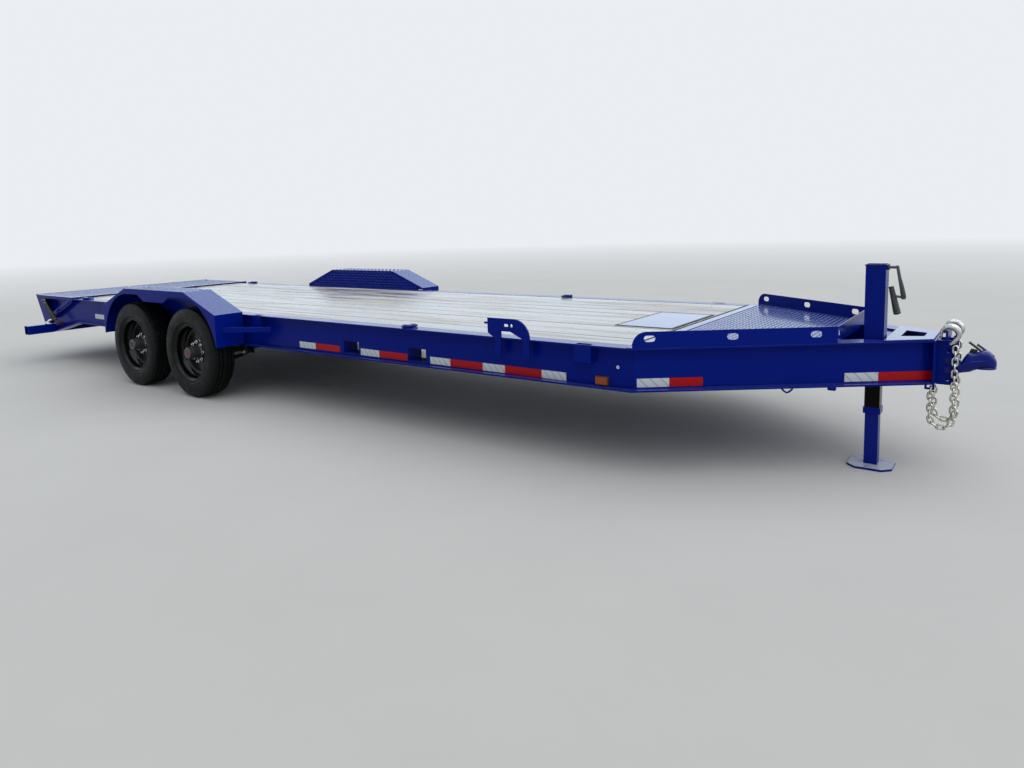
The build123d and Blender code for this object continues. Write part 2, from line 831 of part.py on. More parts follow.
# Stake pockets under the flanges
with BuildPart() as stake_pockets:
    with BuildSketch(Plane.XY.offset(deck_height - flange_thick - seat_gap)) as stakes:
        with Locations(*[(x, -(rail_half_width - stake_out / 2)) for x in stake_xs]):
            Rectangle(stake_width, stake_out - 2 * seat_gap)
            Rectangle(stake_width - 2 * stake_wall, stake_out - 2 * stake_wall, mode=Mode.SUBTRACT)
    extrude(amount=-stake_deep)
    mirror(about=Plane.XZ)
save(stake_pockets, "stake_pockets")

# Fork pockets, sleeves behind the windows in the rails' webs
with BuildPart() as fork_pockets:
    with BuildSketch(upright_plane(-(web_inner_y - seat_gap))) as sleeves:
        with Locations(*[(x, fork_z) for x in fork_xs]):
            Rectangle(fork_width + 2 * fork_wall, fork_height + 2 * fork_wall)
            Rectangle(fork_width, fork_height, mode=Mode.SUBTRACT)
    extrude(amount=-fork_depth)
    mirror(about=Plane.XZ)
save(fork_pockets, "fork_pockets")

# Front tray on the neck: floor, side walls along the neck beams, front wall
tray_plan = [
    (deck_front_x + board_gap, -neck_outer_y(bend_x)),
    (bend_x, -neck_outer_y(bend_x)),
    (tray_front_x, -neck_outer_y(tray_front_x)),
    (tray_front_x, neck_outer_y(tray_front_x)),
    (bend_x, neck_outer_y(bend_x)),
    (deck_front_x + board_gap, neck_outer_y(bend_x)),
]
with BuildPart() as front_tray:
    with BuildSketch(Plane.XY.offset(deck_height + seat_gap)) as tray_floor:
        with BuildLine():
            Polyline(*tray_plan, close=True)
        make_face()
    extrude(amount=tray_sheet)
    wall_plane = Plane(
        origin=neck_corner + neck_across * (tray_sheet / 2), x_dir=neck_along,
        z_dir=(neck_along.Y, -neck_along.X, 0),
    )
    wall_run = (tray_front_x - bend_x) / cos(neck_angle)
    wall_foot = deck_height + seat_gap
    wall_head = wall_foot + tray_wall_height
    with BuildSketch(wall_plane) as tray_wall:
        with BuildLine():
            Polyline(
                (tray_wall_start + tray_corner, wall_head), (wall_run, wall_head), (wall_run, wall_foot),
                (tray_wall_start, wall_foot), (tray_wall_start, wall_head - tray_corner),
            )
            TangentArc(
                (tray_wall_start, wall_head - tray_corner), (tray_wall_start + tray_corner, wall_head), tangent=(0, 1)
            )
        make_face()
        with Locations(*[(run, tray_hole_z) for run in tray_hole_runs]):
            SlotOverall(tray_hole_width, tray_hole_height, mode=Mode.SUBTRACT)
    extrude(amount=tray_sheet / 2, both=True)
    mirror(about=Plane.XZ)
    with BuildSketch(Plane.YZ.offset(tray_front_x)) as tray_front:
        with Locations((0, deck_height + seat_gap + tray_wall_height / 2)):
            Rectangle(2 * neck_outer_y(tray_front_x), tray_wall_height)
        notch_y = neck_outer_y(tray_front_x) - tray_notch_in
        with Locations((-notch_y, tray_hole_z), (notch_y, tray_hole_z)):
            Rectangle(tray_notch_width, tray_notch_height, mode=Mode.SUBTRACT)
    extrude(amount=-tray_sheet)
save(front_tray, "front_tray")

# Spare wheel mount, an upright plate against the right rail's flange
mount_y = rail_half_width + seat_gap + spare_thick / 2
spare_front = spare_x + spare_width
spare_neck = spare_x + spare_step
window_z = spare_top - spare_window_rise
with BuildPart() as spare_mount:
    with BuildSketch(upright_plane(-mount_y)) as mount_plate:
        with BuildLine():
            Polyline(
                (spare_front - spare_round, spare_top), (spare_x, spare_top),
                (spare_x, spare_top - spare_back_drop),
                (spare_neck, deck_height - spare_step_drop), (spare_neck, spare_bottom),
                (spare_neck + spare_leg, spare_bottom), (spare_neck + spare_leg, window_z),
                (spare_front - spare_round - spare_leg / 2, window_z), (spare_front - spare_leg, deck_height),
                (spare_front - spare_leg, spare_bottom), (spare_front, spare_bottom),
                (spare_front, spare_top - spare_round),
            )
            RadiusArc(
                (spare_front, spare_top - spare_round), (spare_front - spare_round, spare_top), -spare_round,
            )
        make_face()
        with Locations((spare_x + spare_slot_x, spare_top - spare_slot_drop)):
            SlotOverall(spare_slot_length, spare_slot_height, mode=Mode.SUBTRACT)
        with Locations((spare_x + spare_hole_x, spare_top - spare_slot_drop)):
            Circle(spare_hole_r, mode=Mode.SUBTRACT)
    extrude(amount=spare_thick / 2, both=True)
    with BuildSketch(Plane.YZ.offset(spare_x)) as hook_stub:
        with Locations((-mount_y, spare_top - spare_hook_drop)):
            Circle(spare_hook_r)
    extrude(amount=-spare_hook_length)
save(spare_mount, "spare_mount")

# Tie-down rings, each in a clip on the rails' top flanges
with BuildPart() as tie_rings:
    for ring_x in ring_xs:
        with BuildSketch(Plane.XY.offset(deck_height + seat_gap)) as clip:
            with Locations((ring_x, -ring_y)):
                Rectangle(ring_clip, ring_clip_wide)
        extrude(amount=ring_stock + 2 * ring_wall)
        with BuildSketch(Plane.XY.offset(deck_height + seat_gap + ring_wall)) as ring:
            with Locations((ring_x, -ring_y + ring_span / 2 - ring_stock / 2)):
                SlotOverall(ring_span + ring_wide, ring_wide, rotation=90)
                SlotOverall(
                    ring_span + ring_wide - 2 * ring_stock, ring_wide - 2 * ring_stock, rotation=90,
                    mode=Mode.SUBTRACT,
                )
        extrude(amount=ring_stock)
    mirror(about=Plane.XZ)
save(tie_rings, "tie_rings")

# Nose frame: plate over the neck's ends, upright channel for the coupler
with BuildPart() as nose_frame:
    with BuildSketch(Plane.YZ.offset(nose_rear_x + seat_gap)) as nose_plate:
        with Locations((0, (deck_height + neck_bottom) / 2)):
            Rectangle(2 * neck_outer_y(nose_rear_x), neck_depth)
    extrude(amount=nose_sheet)
    with BuildSketch(Plane.XY.offset(neck_bottom - channel_drop)) as channel:
        with Locations((nose_rear_x + seat_gap + nose_sheet + channel_deep / 2, 0)):
            Rectangle(channel_deep, 2 * channel_half)
            with Locations((channel_wall, 0)):
                Rectangle(channel_deep, 2 * (channel_half - channel_wall), mode=Mode.SUBTRACT)
    extrude(amount=deck_height - channel_top_drop - neck_bottom + channel_drop)
    channel_mid_x = nose_rear_x + seat_gap + nose_sheet + channel_deep * channel_hole_share
    with BuildSketch(upright_plane(0)) as channel_holes:
        with Locations(*[
            (channel_mid_x, neck_bottom + channel_first_hole + i * hole_pitch)
            for i in range(channel_holes_count)
        ]):
            Circle(channel_hole_r)
    extrude(amount=channel_half, both=True, mode=Mode.SUBTRACT)
save(nose_frame, "nose_frame")

# Tab on the channel that the chain hooks hang from
tab_bottom = deck_height - channel_top_drop + seat_gap
with BuildPart() as hook_tab:
    with BuildSketch(Plane.YZ.offset(hanger_x)) as tab:
        with Locations((0, (tab_bottom + hanger_tab_top) / 2)):
            Rectangle(2 * hanger_tab_half, hanger_tab_top - tab_bottom)
    extrude(amount=-hanger_tab_thick)
save(hook_tab, "hook_tab")

# Nose top plate with its access hole
with BuildPart() as nose_top_plate:
    plate_rear_x = jack_x + jack_outer / 2 + top_plate_gap
    with BuildSketch(Plane.XY.offset(deck_height + seat_gap)) as top_plan:
        with BuildLine():
            Polyline(
                (plate_rear_x, -neck_outer_y(plate_rear_x)), (nose_rear_x, -neck_outer_y(nose_rear_x)),
                (nose_rear_x, neck_outer_y(nose_rear_x)), (plate_rear_x, neck_outer_y(plate_rear_x)),
                close=True,
            )
        make_face()
        with BuildLine():
            Polyline(
                (access_x, -access_rear_half), (access_x + access_length, -access_front_half),
                (access_x + access_length, access_front_half), (access_x, access_rear_half), close=True,
            )
        make_face(mode=Mode.SUBTRACT)
    extrude(amount=top_sheet)
save(nose_top_plate, "nose_top_plate")

# Coupler with its ball socket, and the latch lever over it
coupler_rear_x = nose_rear_x + seat_gap + nose_sheet + channel_wall + seat_gap
ball_x = coupler_tip_x - socket_outer_r
body_top = ball_z + coupler_body_rise
dome_r = socket_outer_r - coupler_lip_out
with BuildPart() as coupler:
    with BuildSketch(Plane.XY.offset(socket_rim_z)) as coupler_plan:
        with BuildLine():
            Polyline(
                (ball_x, -dome_r), (coupler_neck_x, -coupler_neck_half), (coupler_neck_x, coupler_neck_half),
                (ball_x, dome_r), close=True,
            )
        make_face()
        with Locations((ball_x, 0)):
            Circle(dome_r)
    extrude(amount=body_top - socket_rim_z)
    with BuildSketch(Plane.XY.offset(socket_rim_z)) as coupler_lip_plan:
        with Locations((ball_x, 0)):
            Circle(socket_outer_r)
    extrude(amount=coupler_lip)
    with BuildSketch(upright_plane(0)) as shank:
        with BuildLine():
            Polyline(
                (coupler_rear_x, coupler_shank_bottom), (coupler_neck_x, coupler_shank_bottom + coupler_lip),
                (coupler_neck_x + coupler_neck_half, socket_rim_z),
                (coupler_neck_x + coupler_neck_half, body_top),
                (coupler_neck_x, coupler_shank_top - coupler_heel_drop), (coupler_rear_x, coupler_shank_top),
                close=True,
            )
        make_face()
    extrude(amount=channel_half - channel_wall - seat_gap, both=True)
    with BuildSketch(Plane.XZ) as dome:
        with BuildLine():
            Line((ball_x, ball_z), (ball_x + dome_r, ball_z))
            CenterArc((ball_x, ball_z), dome_r, start_angle=0, arc_size=90)
            Line((ball_x, ball_z + dome_r), (ball_x, ball_z))
        make_face()
    revolve(axis=Axis((ball_x, 0, 0), (0, 0, 1)))
    with BuildSketch(Plane.XZ) as socket_hollow:
        with BuildLine():
            Line((ball_x, socket_rim_z), (ball_x + socket_r, socket_rim_z))
            Line((ball_x + socket_r, socket_rim_z), (ball_x + socket_r, ball_z))
            CenterArc((ball_x, ball_z), socket_r, start_angle=0, arc_size=90)
            Line((ball_x, ball_z + socket_r), (ball_x, socket_rim_z))
        make_face()
    revolve(axis=Axis((ball_x, 0, 0), (0, 0, 1)), mode=Mode.SUBTRACT)
save(coupler, "coupler")

# Latch on the coupler's back: a ridge with two lever arms that stand up and back
latch_x = ball_x - latch_foot_back
latch_front = latch_x + latch_foot_length
latch_base = body_top + seat_gap
latch_top = latch_base + coupler_body_rise
with BuildPart() as coupler_latch:
    with BuildSketch(upright_plane(0)) as ridge:
        with BuildLine():
            Polyline(
                (latch_x + latch_foot_length / 2, latch_base), (latch_front, latch_base),
                (latch_front, latch_top), (latch_front - latch_plate, latch_top + latch_plate),
                (latch_x + latch_foot_length / 2, latch_top), close=True,
            )
        make_face()
    extrude(amount=latch_half + lever_thick, both=True)
    with BuildSketch(upright_plane(0)) as lever:
        with BuildLine():
            Polyline(
                (latch_front, latch_top), (latch_front - lever_back, latch_top + lever_rise),
                (latch_front - lever_back - lever_thick, latch_top + lever_rise - lever_thick),
                (latch_front - lever_thick, latch_top - lever_thick), close=True,
            )
        make_face()
    extrude(amount=latch_half + lever_thick, both=True)
    with BuildSketch(upright_plane(0)) as lever_gap:
        with Locations((latch_front - lever_back, latch_top + lever_rise)):
            Rectangle(lever_back + latch_plate, lever_rise + latch_plate)
    extrude(amount=lever_y, both=True, mode=Mode.SUBTRACT)
save(coupler_latch, "coupler_latch")

# Safety chains, hexagonal links that hang from under the nose and hook back up beside the channel
link_half = chain_pitch / 2 + chain_stock
link_hole_half = chain_pitch / 2 + seat_gap


def chain_places():
    """Centre and direction of each link along one chain: down, round a bend and up."""
    bend_r = chain_pitch / (2 * sin(pi / 2 / chain_turn))
    places = []
    x0 = chain_x
    z0 = chain_top_z
    for i in range(chain_down):
        places.append((x0, z0 - (i + 0.5) * chain_pitch, -90))
    z1 = z0 - chain_down * chain_pitch
    for i in range(chain_turn):
        angle = pi + (i + 0.5) * pi / chain_turn
        mid_r = bend_r * cos(pi / 2 / chain_turn)
        turn = -90 + (i + 0.5) * 180 / chain_turn
        places.append((x0 + bend_r + mid_r * cos(angle), z1 + mid_r * sin(angle), turn))
    for i in range(chain_up):
        places.append((x0 + 2 * bend_r, z1 + (i + 0.5) * chain_pitch, 90))
    return places


with BuildPart() as safety_chains:
    for index, (link_x, link_z, turn) in enumerate(chain_places()):
        run = radians(turn)
        link_x_dir = Vector(cos(run), 0, sin(run))
        link_normal = Vector(0, 1, 0) if index % 2 else link_x_dir.cross(Vector(0, 1, 0))
        link_plane = Plane(origin=(link_x, -chain_y, link_z), x_dir=link_x_dir, z_dir=link_normal)
        with BuildSketch(link_plane) as link:
            with BuildLine():
                Polyline(
                    (-link_half, 0), (-link_half * link_waist, chain_wide / 2),
                    (link_half * link_waist, chain_wide / 2), (link_half, 0),
                    (link_half * link_waist, -chain_wide / 2), (-link_half * link_waist, -chain_wide / 2),
                    close=True,
                )
            make_face()
            Rectangle(2 * link_hole_half * link_hole_share, chain_wide - 2 * chain_stock, mode=Mode.SUBTRACT)
        extrude(amount=chain_stock / 2, both=True)
    mirror(about=Plane.XZ)
save(safety_chains, "safety_chains")

# Chain anchors, staples under the nose through the first links
staple_top = neck_bottom - seat_gap
staple_bottom = chain_top_z - chain_pitch / 2 + link_hole_half * link_hole_share - seat_gap - staple_stock
with BuildPart() as chain_anchors:
    with BuildSketch(upright_plane(-chain_y)) as staple:
        with BuildLine():
            Polyline(
                (chain_x - staple_rear, staple_bottom), (chain_x + staple_front, staple_bottom),
                (chain_x + staple_front, staple_top), (chain_x + staple_front - staple_stock, staple_top),
                (chain_x + staple_front - staple_stock, staple_bottom + staple_stock),
                (chain_x - staple_rear + staple_stock, staple_bottom + staple_stock),
                (chain_x - staple_rear + staple_stock, staple_top), (chain_x - staple_rear, staple_top),
                close=True,
            )
        make_face()
    extrude(amount=staple_stock / 2, both=True)
    mirror(about=Plane.XZ)
save(chain_anchors, "chain_anchors")

# Hooks at the chains' ends, hung over the tab
last_x, last_z, last_turn = chain_places()[-1]
hook_inner_r = hook_ring_r - hook_stock_r
hook_x = hanger_x - hanger_tab_thick + hook_back
hook_z = hanger_tab_top + seat_gap - (hook_inner_r**2 - hook_back**2) ** 0.5
tail_cos = cos(radians(hook_tail_angle))
tail_sin = sin(radians(hook_tail_angle))
hook_plane = Plane(
    origin=(hook_x + hook_ring_r * tail_cos, -chain_y, hook_z + hook_ring_r * tail_sin),
    x_dir=(tail_cos, 0, tail_sin),
    z_dir=(-tail_sin, 0, tail_cos),
)
with BuildPart() as chain_hooks:
    with BuildSketch(hook_plane) as hook_section:
        Circle(hook_stock_r)
    revolve(
        axis=Axis((hook_x, -chain_y, hook_z), (0, -1, 0)), revolution_arc=hook_tip_angle - hook_tail_angle,
    )
    with BuildSketch(Plane.XY.offset(last_z + link_half + seat_gap)) as hook_shank:
        with Locations((last_x, -chain_y)):
            Rectangle(hook_eye_x, hook_eye_y)
    extrude(until=Until.NEXT)
    mirror(about=Plane.XZ)
save(chain_hooks, "chain_hooks")

# Jack: square tube with cap, narrower tube and collar below it, crank on its front, leg with foot inside
lower_bore = jack_lower - 2 * jack_lower_wall
with BuildPart() as jack_tube:
    with BuildSketch(Plane.XY.offset(jack_outer_bottom)) as tube:
        with Locations((jack_x, jack_y)):
            Rectangle(jack_outer, jack_outer)
            Rectangle(jack_outer - 2 * jack_wall, jack_outer - 2 * jack_wall, mode=Mode.SUBTRACT)
    extrude(amount=jack_top - jack_outer_bottom)
    with BuildSketch(Plane.XY.offset(jack_outer_bottom)) as step_plate:
        with Locations((jack_x, jack_y)):
            Rectangle(jack_outer, jack_outer)
            Rectangle(lower_bore, lower_bore, mode=Mode.SUBTRACT)
    extrude(amount=jack_step)
    with BuildSketch(Plane.XY.offset(jack_tube_bottom)) as lower_tube:
        with Locations((jack_x, jack_y)):
            Rectangle(jack_lower, jack_lower)
            Rectangle(lower_bore, lower_bore, mode=Mode.SUBTRACT)
    extrude(amount=jack_lower_top - jack_tube_bottom)
    with BuildSketch(Plane.XY.offset(jack_top - jack_wall)) as cap:
        with Locations((jack_x, jack_y)):
            Rectangle(jack_outer, jack_outer)
    extrude(amount=jack_wall)
    with BuildSketch(Plane.XY.offset(jack_tube_bottom - collar_height)) as collar:
        with Locations((jack_x, jack_y)):
            Rectangle(jack_lower + collar_wide, jack_lower + collar_wide)
            Rectangle(lower_bore, lower_bore, mode=Mode.SUBTRACT)
    extrude(amount=collar_height + collar_lap)
save(jack_tube, "jack_tube")

# Crank: shaft, leaning arm with its knob, and the folded handle behind it
crank_x = jack_x + jack_outer / 2 + seat_gap
crank_z = jack_top - crank_drop
arm_x = crank_x + crank_arm_x
arm_dx = crank_arm_length * sin(radians(crank_lean))
arm_dz = crank_arm_length * cos(radians(crank_lean))
with BuildPart() as jack_crank:
    with BuildSketch(Plane.YZ.offset(crank_x)) as shaft:
        with Locations((jack_y, crank_z)):
            Circle(crank_shaft_r)
    extrude(amount=crank_shaft_length)
    with BuildSketch(upright_plane(jack_y)) as arm:
        with BuildLine():
            Polyline(
                (arm_x, crank_z + crank_arm_width), (arm_x + crank_arm_thick, crank_z + crank_arm_width),
                (arm_x + crank_arm_thick + arm_dx, crank_z - arm_dz), (arm_x + arm_dx, crank_z - arm_dz),
                close=True,
            )
        make_face()
    extrude(amount=crank_arm_width / 2, both=True)
    with BuildSketch(Plane.YZ.offset(arm_x + arm_dx)) as knob:
        with Locations((jack_y, crank_z - arm_dz + crank_knob_r)):
            Circle(crank_knob_r)
    extrude(amount=-crank_knob_length)
    with BuildSketch(Plane.XY.offset(crank_z)) as handle_rod:
        with Locations((crank_x + handle_y, jack_y)):
            Circle(handle_rod_r)
    extrude(amount=-handle_top)
    with BuildSketch(Plane.XY.offset(crank_z - handle_top)) as handle:
        with Locations((crank_x + handle_y, jack_y)):
            Circle(handle_r)
    extrude(amount=-handle_length)
save(jack_crank, "jack_crank")

with BuildPart() as jack_leg:
    with BuildSketch(Plane.XY.offset(foot_thick)) as leg:
        with Locations((jack_x, jack_y)):
            Rectangle(jack_leg_size, jack_leg_size)
            Rectangle(jack_leg_size - 2 * jack_wall, jack_leg_size - 2 * jack_wall, mode=Mode.SUBTRACT)
    extrude(amount=jack_leg_top - foot_thick)
    with BuildSketch(Plane.XY) as foot:
        with Locations((jack_x, jack_y)):
            Rectangle(foot_size, foot_size)
        chamfer(foot.vertices(), length=foot_clip)
    extrude(amount=foot_thick)
save(jack_leg, "jack_leg")

# Marker lamps on the rails: amber at the front, red at the tail
with BuildPart() as amber_markers:
    with BuildSketch(upright_plane(-(web_y + web_thick / 2 + seat_gap))) as amber:
        with Locations((amber_x, amber_z)):
            RectangleRounded(marker_width, amber_height, marker_round)
    extrude(amount=marker_depth)
    mirror(about=Plane.XZ)
save(amber_markers, "amber_markers")

with BuildPart() as red_markers:
    with BuildSketch(upright_plane(-(web_y + web_thick / 2 + seat_gap))) as red:
        with Locations((red_x, red_z)):
            RectangleRounded(marker_width, red_height, marker_round)
    extrude(amount=marker_depth)
    mirror(about=Plane.XZ)
save(red_markers, "red_markers")

# Spring packs under the axles, with eyes, and the hangers that carry them
spring_r = (spring_half**2 + spring_arch**2) / (2 * spring_arch)
pack_top_z = axle_z - axle_tube_r - spring_seat
with BuildPart() as leaf_springs:
    for end in (-1, 1):
        spring_x = axle_x + end * half_spread
        with BuildSketch(upright_plane(-spring_y)) as leaves:
            for i, half_length in enumerate(leaf_halves):
                inner_r = spring_r + i * leaf_thick
                half_turn = half_length / inner_r
                with BuildLine():
                    inner = CenterArc(
                        (spring_x, pack_top_z + spring_r), inner_r, start_angle=270 - half_turn * 180 / pi,
                        arc_size=2 * half_turn * 180 / pi,
                    )
                    outer = CenterArc(
                        (spring_x, pack_top_z + spring_r), inner_r + leaf_thick,
                        start_angle=270 - half_turn * 180 / pi, arc_size=2 * half_turn * 180 / pi,
                    )
                    Line(inner @ 0, outer @ 0)
                    Line(inner @ 1, outer @ 1)
                make_face()
            with Locations(*[(spring_x + s * spring_half, pack_top_z + spring_arch) for s in (-1, 1)]):
                Circle(eye_r)
            with Locations((spring_x, pack_top_z + spring_seat / 2 - seat_gap)):
                Rectangle(seat_length, spring_seat - 2 * seat_gap)
            with Locations(*[(spring_x + s * spring_half, pack_top_z + spring_arch) for s in (-1, 1)]):
                Circle(eye_pin_r + seat_gap, mode=Mode.SUBTRACT)
        extrude(amount=spring_wide / 2, both=True)
    mirror(about=Plane.XZ)
save(leaf_springs, "leaf_springs")

eye_z = pack_top_z + spring_arch
front_eye_x = axle_x + half_spread + spring_half
rear_eye_x = axle_x - half_spread - spring_half
inner_eye = half_spread - spring_half
hanger_top_z = rail_bottom - seat_gap
hanger_span = spring_wide / 2 + hanger_side + hanger_sheet
with BuildPart() as spring_hangers:
    for plate_x, plate_half, pins in (
        (front_eye_x, hanger_half, (front_eye_x,)),
        (axle_x, inner_eye + hanger_lap, (axle_x - inner_eye, axle_x + inner_eye)),
        (rear_eye_x, hanger_half, (rear_eye_x,)),
    ):
        for cheek in (-1, 1):
            cheek_y = spring_y + cheek * (hanger_span - hanger_sheet / 2)
            with BuildSketch(upright_plane(-cheek_y)) as cheek_plate:
                with Locations((plate_x, (hanger_top_z + eye_z - eye_r) / 2)):
                    Rectangle(2 * plate_half, hanger_top_z - eye_z + eye_r)
            extrude(amount=hanger_sheet / 2, both=True)
        with BuildSketch(upright_plane(-spring_y)) as hanger_top:
            with Locations((plate_x, hanger_top_z - hanger_sheet / 2)):
                Rectangle(2 * plate_half, hanger_sheet)
        extrude(amount=hanger_span, both=True)
        with BuildSketch(upright_plane(-spring_y)) as eye_pins:
            with Locations(*[(x, eye_z) for x in pins]):
                Circle(eye_pin_r)
        extrude(amount=hanger_span, both=True)
    mirror(about=Plane.XZ)
save(spring_hangers, "spring_hangers")

# Axles with backing plates and spindles
for end, label in ((1, "axle_front"), (-1, "axle_rear")):
    centre_x = axle_x + end * half_spread
    with BuildPart() as axle:
        for radius, start, stop in (
            (axle_tube_r, 0, backing_y), (backing_r, backing_y, backing_y + backing_thick),
            (spindle_r, 0, spindle_end_y),
        ):
            for side in (-1, 1):
                with BuildSketch(upright_plane(side * start)) as section:
                    with Locations((centre_x, axle_z)):
                        Circle(radius)
                extrude(amount=-side * (stop - start))
    save(axle, label)

# Wheels: tyre, steel rim with deep dish, hub with drum, studs, nuts and cap
for end, end_name in ((1, "front"), (-1, "rear")):
    for side, side_name in ((-1, "right"), (1, "left")):
        centre = (axle_x + end * half_spread, side * wheel_y, axle_z)
        name = end_name + "_" + side_name
        section_plane = Plane(origin=centre, x_dir=(0, side, 0), z_dir=(side, 0, 0))
        wheel_axis = Axis(centre, (0, 1, 0))
        bolt_plane = Plane(
            origin=(centre[0], side * (wheel_y + disc_out), axle_z), x_dir=(1, 0, 0), z_dir=(0, side, 0)
        )
        half = tyre_width / 2
        with BuildPart() as tyre:
            with BuildSketch(section_plane) as tyre_section:
                with BuildLine():
                    Polyline(
                        (-bead_half, bead_r), (-half, belly_r), (-tread_half, tyre_radius),
                        (tread_half, tyre_radius), (half, belly_r), (bead_half, bead_r), close=True,
                    )
                make_face()
            revolve(axis=wheel_axis)
        save(tyre, "tyre_" + name)
        with BuildPart() as rim:
            with BuildSketch(section_plane) as rim_section:
                with BuildLine():
                    Polyline(
                        (rim_half, rim_radius), (rim_half, rim_radius - rim_flange),
                        (rim_half - well_in, well_r + well_rise), (dish_outer_x, well_r - dish_outer_drop),
                        (dish_bend_x, well_r - dish_bend_drop), (dish_low_x, well_r - dish_low_drop),
                        (disc_out, bolt_face_r), (disc_out, pilot_r + seat_gap),
                        (disc_out - disc_thick, pilot_r + seat_gap), (disc_out - disc_thick, bolt_face_r),
                        (dish_back_x, well_r - dish_low_drop), (-well_in, well_r - dish_back_drop),
                        (-rim_half + well_in, well_r + well_rise), (-rim_half, rim_radius - rim_flange),
                        (-rim_half, rim_radius), (-rim_half + rim_sheet, rim_radius),
                        (-rim_half + rim_sheet + rim_bead_in, bead_r - seat_gap),
                        (rim_half - rim_sheet - rim_bead_in, bead_r - seat_gap),
                        (rim_half - rim_sheet, rim_radius), close=True,
                    )
                make_face()
            revolve(axis=wheel_axis)
            with BuildSketch(bolt_plane) as stud_holes:
                with PolarLocations(stud_circle_r, stud_count):
                    Circle(stud_r + seat_gap)
            extrude(amount=2 * disc_thick, both=True, mode=Mode.SUBTRACT)
        save(rim, "rim_" + name)
        with BuildPart() as hub:
            with BuildSketch(section_plane) as hub_section:
                with BuildLine():
                    Polyline(
                        (drum_in, spindle_r + spindle_clear), (drum_in, drum_hub_r), (drum_web, drum_hub_r),
                        (drum_web, drum_r - drum_wall), (drum_open, drum_r - drum_wall), (drum_open, drum_r),
                        (disc_out - disc_thick - seat_gap, drum_r),
                        (disc_out - disc_thick - seat_gap, pilot_r),
                        (cap_root, pilot_r), (cap_root + cap_step, cap_r), (cap_end, cap_r),
                        (hub_end_y - wheel_y, cap_r - cap_round), (hub_end_y - wheel_y, 0), (spindle_room, 0),
                        (spindle_room, spindle_r + spindle_clear), close=True,
                    )
                make_face()
            revolve(axis=wheel_axis)
            with BuildSketch(bolt_plane.offset(-disc_thick - 2 * seat_gap)) as studs:
                with PolarLocations(stud_circle_r, stud_count):
                    Circle(stud_r)
            extrude(amount=disc_thick + nut_length + stud_tip)
            with BuildSketch(bolt_plane.offset(seat_gap)) as nuts:
                with PolarLocations(stud_circle_r, stud_count):
                    RegularPolygon(nut_r, 6)
            extrude(amount=nut_length)
        save(hub, "hub_" + name)
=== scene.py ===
"""Equipment trailer: wood deck, tandem axles, drive-over fenders, flip-over ramps, front tray and jack."""

import json
from math import atan, cos, hypot, pi, radians, sin, tan
import random

import bmesh
import bpy
from bpy.props import FloatProperty, FloatVectorProperty, IntProperty, PointerProperty
from mathutils import Matrix, Vector


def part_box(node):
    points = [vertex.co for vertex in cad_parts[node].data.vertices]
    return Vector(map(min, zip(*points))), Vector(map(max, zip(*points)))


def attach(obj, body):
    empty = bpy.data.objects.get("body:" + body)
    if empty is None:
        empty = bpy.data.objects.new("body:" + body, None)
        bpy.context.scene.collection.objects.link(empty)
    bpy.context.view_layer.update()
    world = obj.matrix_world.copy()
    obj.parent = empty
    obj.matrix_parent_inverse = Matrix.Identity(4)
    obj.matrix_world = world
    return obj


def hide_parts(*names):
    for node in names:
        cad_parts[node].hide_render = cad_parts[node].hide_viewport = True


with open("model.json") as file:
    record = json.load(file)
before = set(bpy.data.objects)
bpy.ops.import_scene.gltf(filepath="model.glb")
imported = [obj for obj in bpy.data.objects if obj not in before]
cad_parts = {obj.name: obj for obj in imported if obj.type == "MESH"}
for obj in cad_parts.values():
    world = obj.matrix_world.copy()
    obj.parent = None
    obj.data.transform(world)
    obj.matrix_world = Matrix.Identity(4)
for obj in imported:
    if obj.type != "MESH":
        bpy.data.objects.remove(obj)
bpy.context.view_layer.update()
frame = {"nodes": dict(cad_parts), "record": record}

bl_info = {
    "name": "Equipment Trailer",
    "version": (1, 0, 0),
    "blender": (4, 5, 0),
    "location": "View3D > Sidebar > Trailer",
    "description": "Builds the finished surfaces and fittings of an equipment trailer on its frame",
    "category": "Object",
}

# Places shared with the frame, in metres. X is forward, Y left, Z up
AXLES_X = -1.395
RAIL_HALF = 1.05
FLANGE = 0.102
WEB_FACE_Y = 1.0025
BEND_X = AXLES_X + 4.388
NECK_ANGLE = atan(0.72)
WHEEL_Y = 1.174
AXLE_Z = 0.377
HALF_SPREAD = 0.462
TAPE = 0.047
TRAY_Z = 0.7013
SPRING_Y = 0.97
JACK_X, JACK_Y = AXLES_X + 5.384, -0.18
BALL_X = AXLES_X + 5.874
CHAIN_Y, LINK_PITCH = 0.09, 0.032
WHEELS = [
    (end, side, end_name + "_" + side_name)
    for end, end_name in ((1, "front"), (-1, "rear"))
    for side, side_name in ((-1, "right"), (1, "left"))
]


def linear(hex_colour):
    """Turns an sRGB hex colour to linear red, green and blue."""
    channels = [int(hex_colour[i:i + 2], 16) / 255 for i in (1, 3, 5)]
    return [c / 12.92 if c <= 0.04045 else ((c + 0.055) / 1.055) ** 2.4 for c in channels]


def length(name, description, default):
    """Property for a size in metres."""
    return FloatProperty(name=name, description=description, default=default, unit="LENGTH")


def swatch(name, description, hex_colour):
    """Property for a colour."""
    return FloatVectorProperty(
        name=name, description=description, default=linear(hex_colour), subtype="COLOR", min=0, max=1
    )


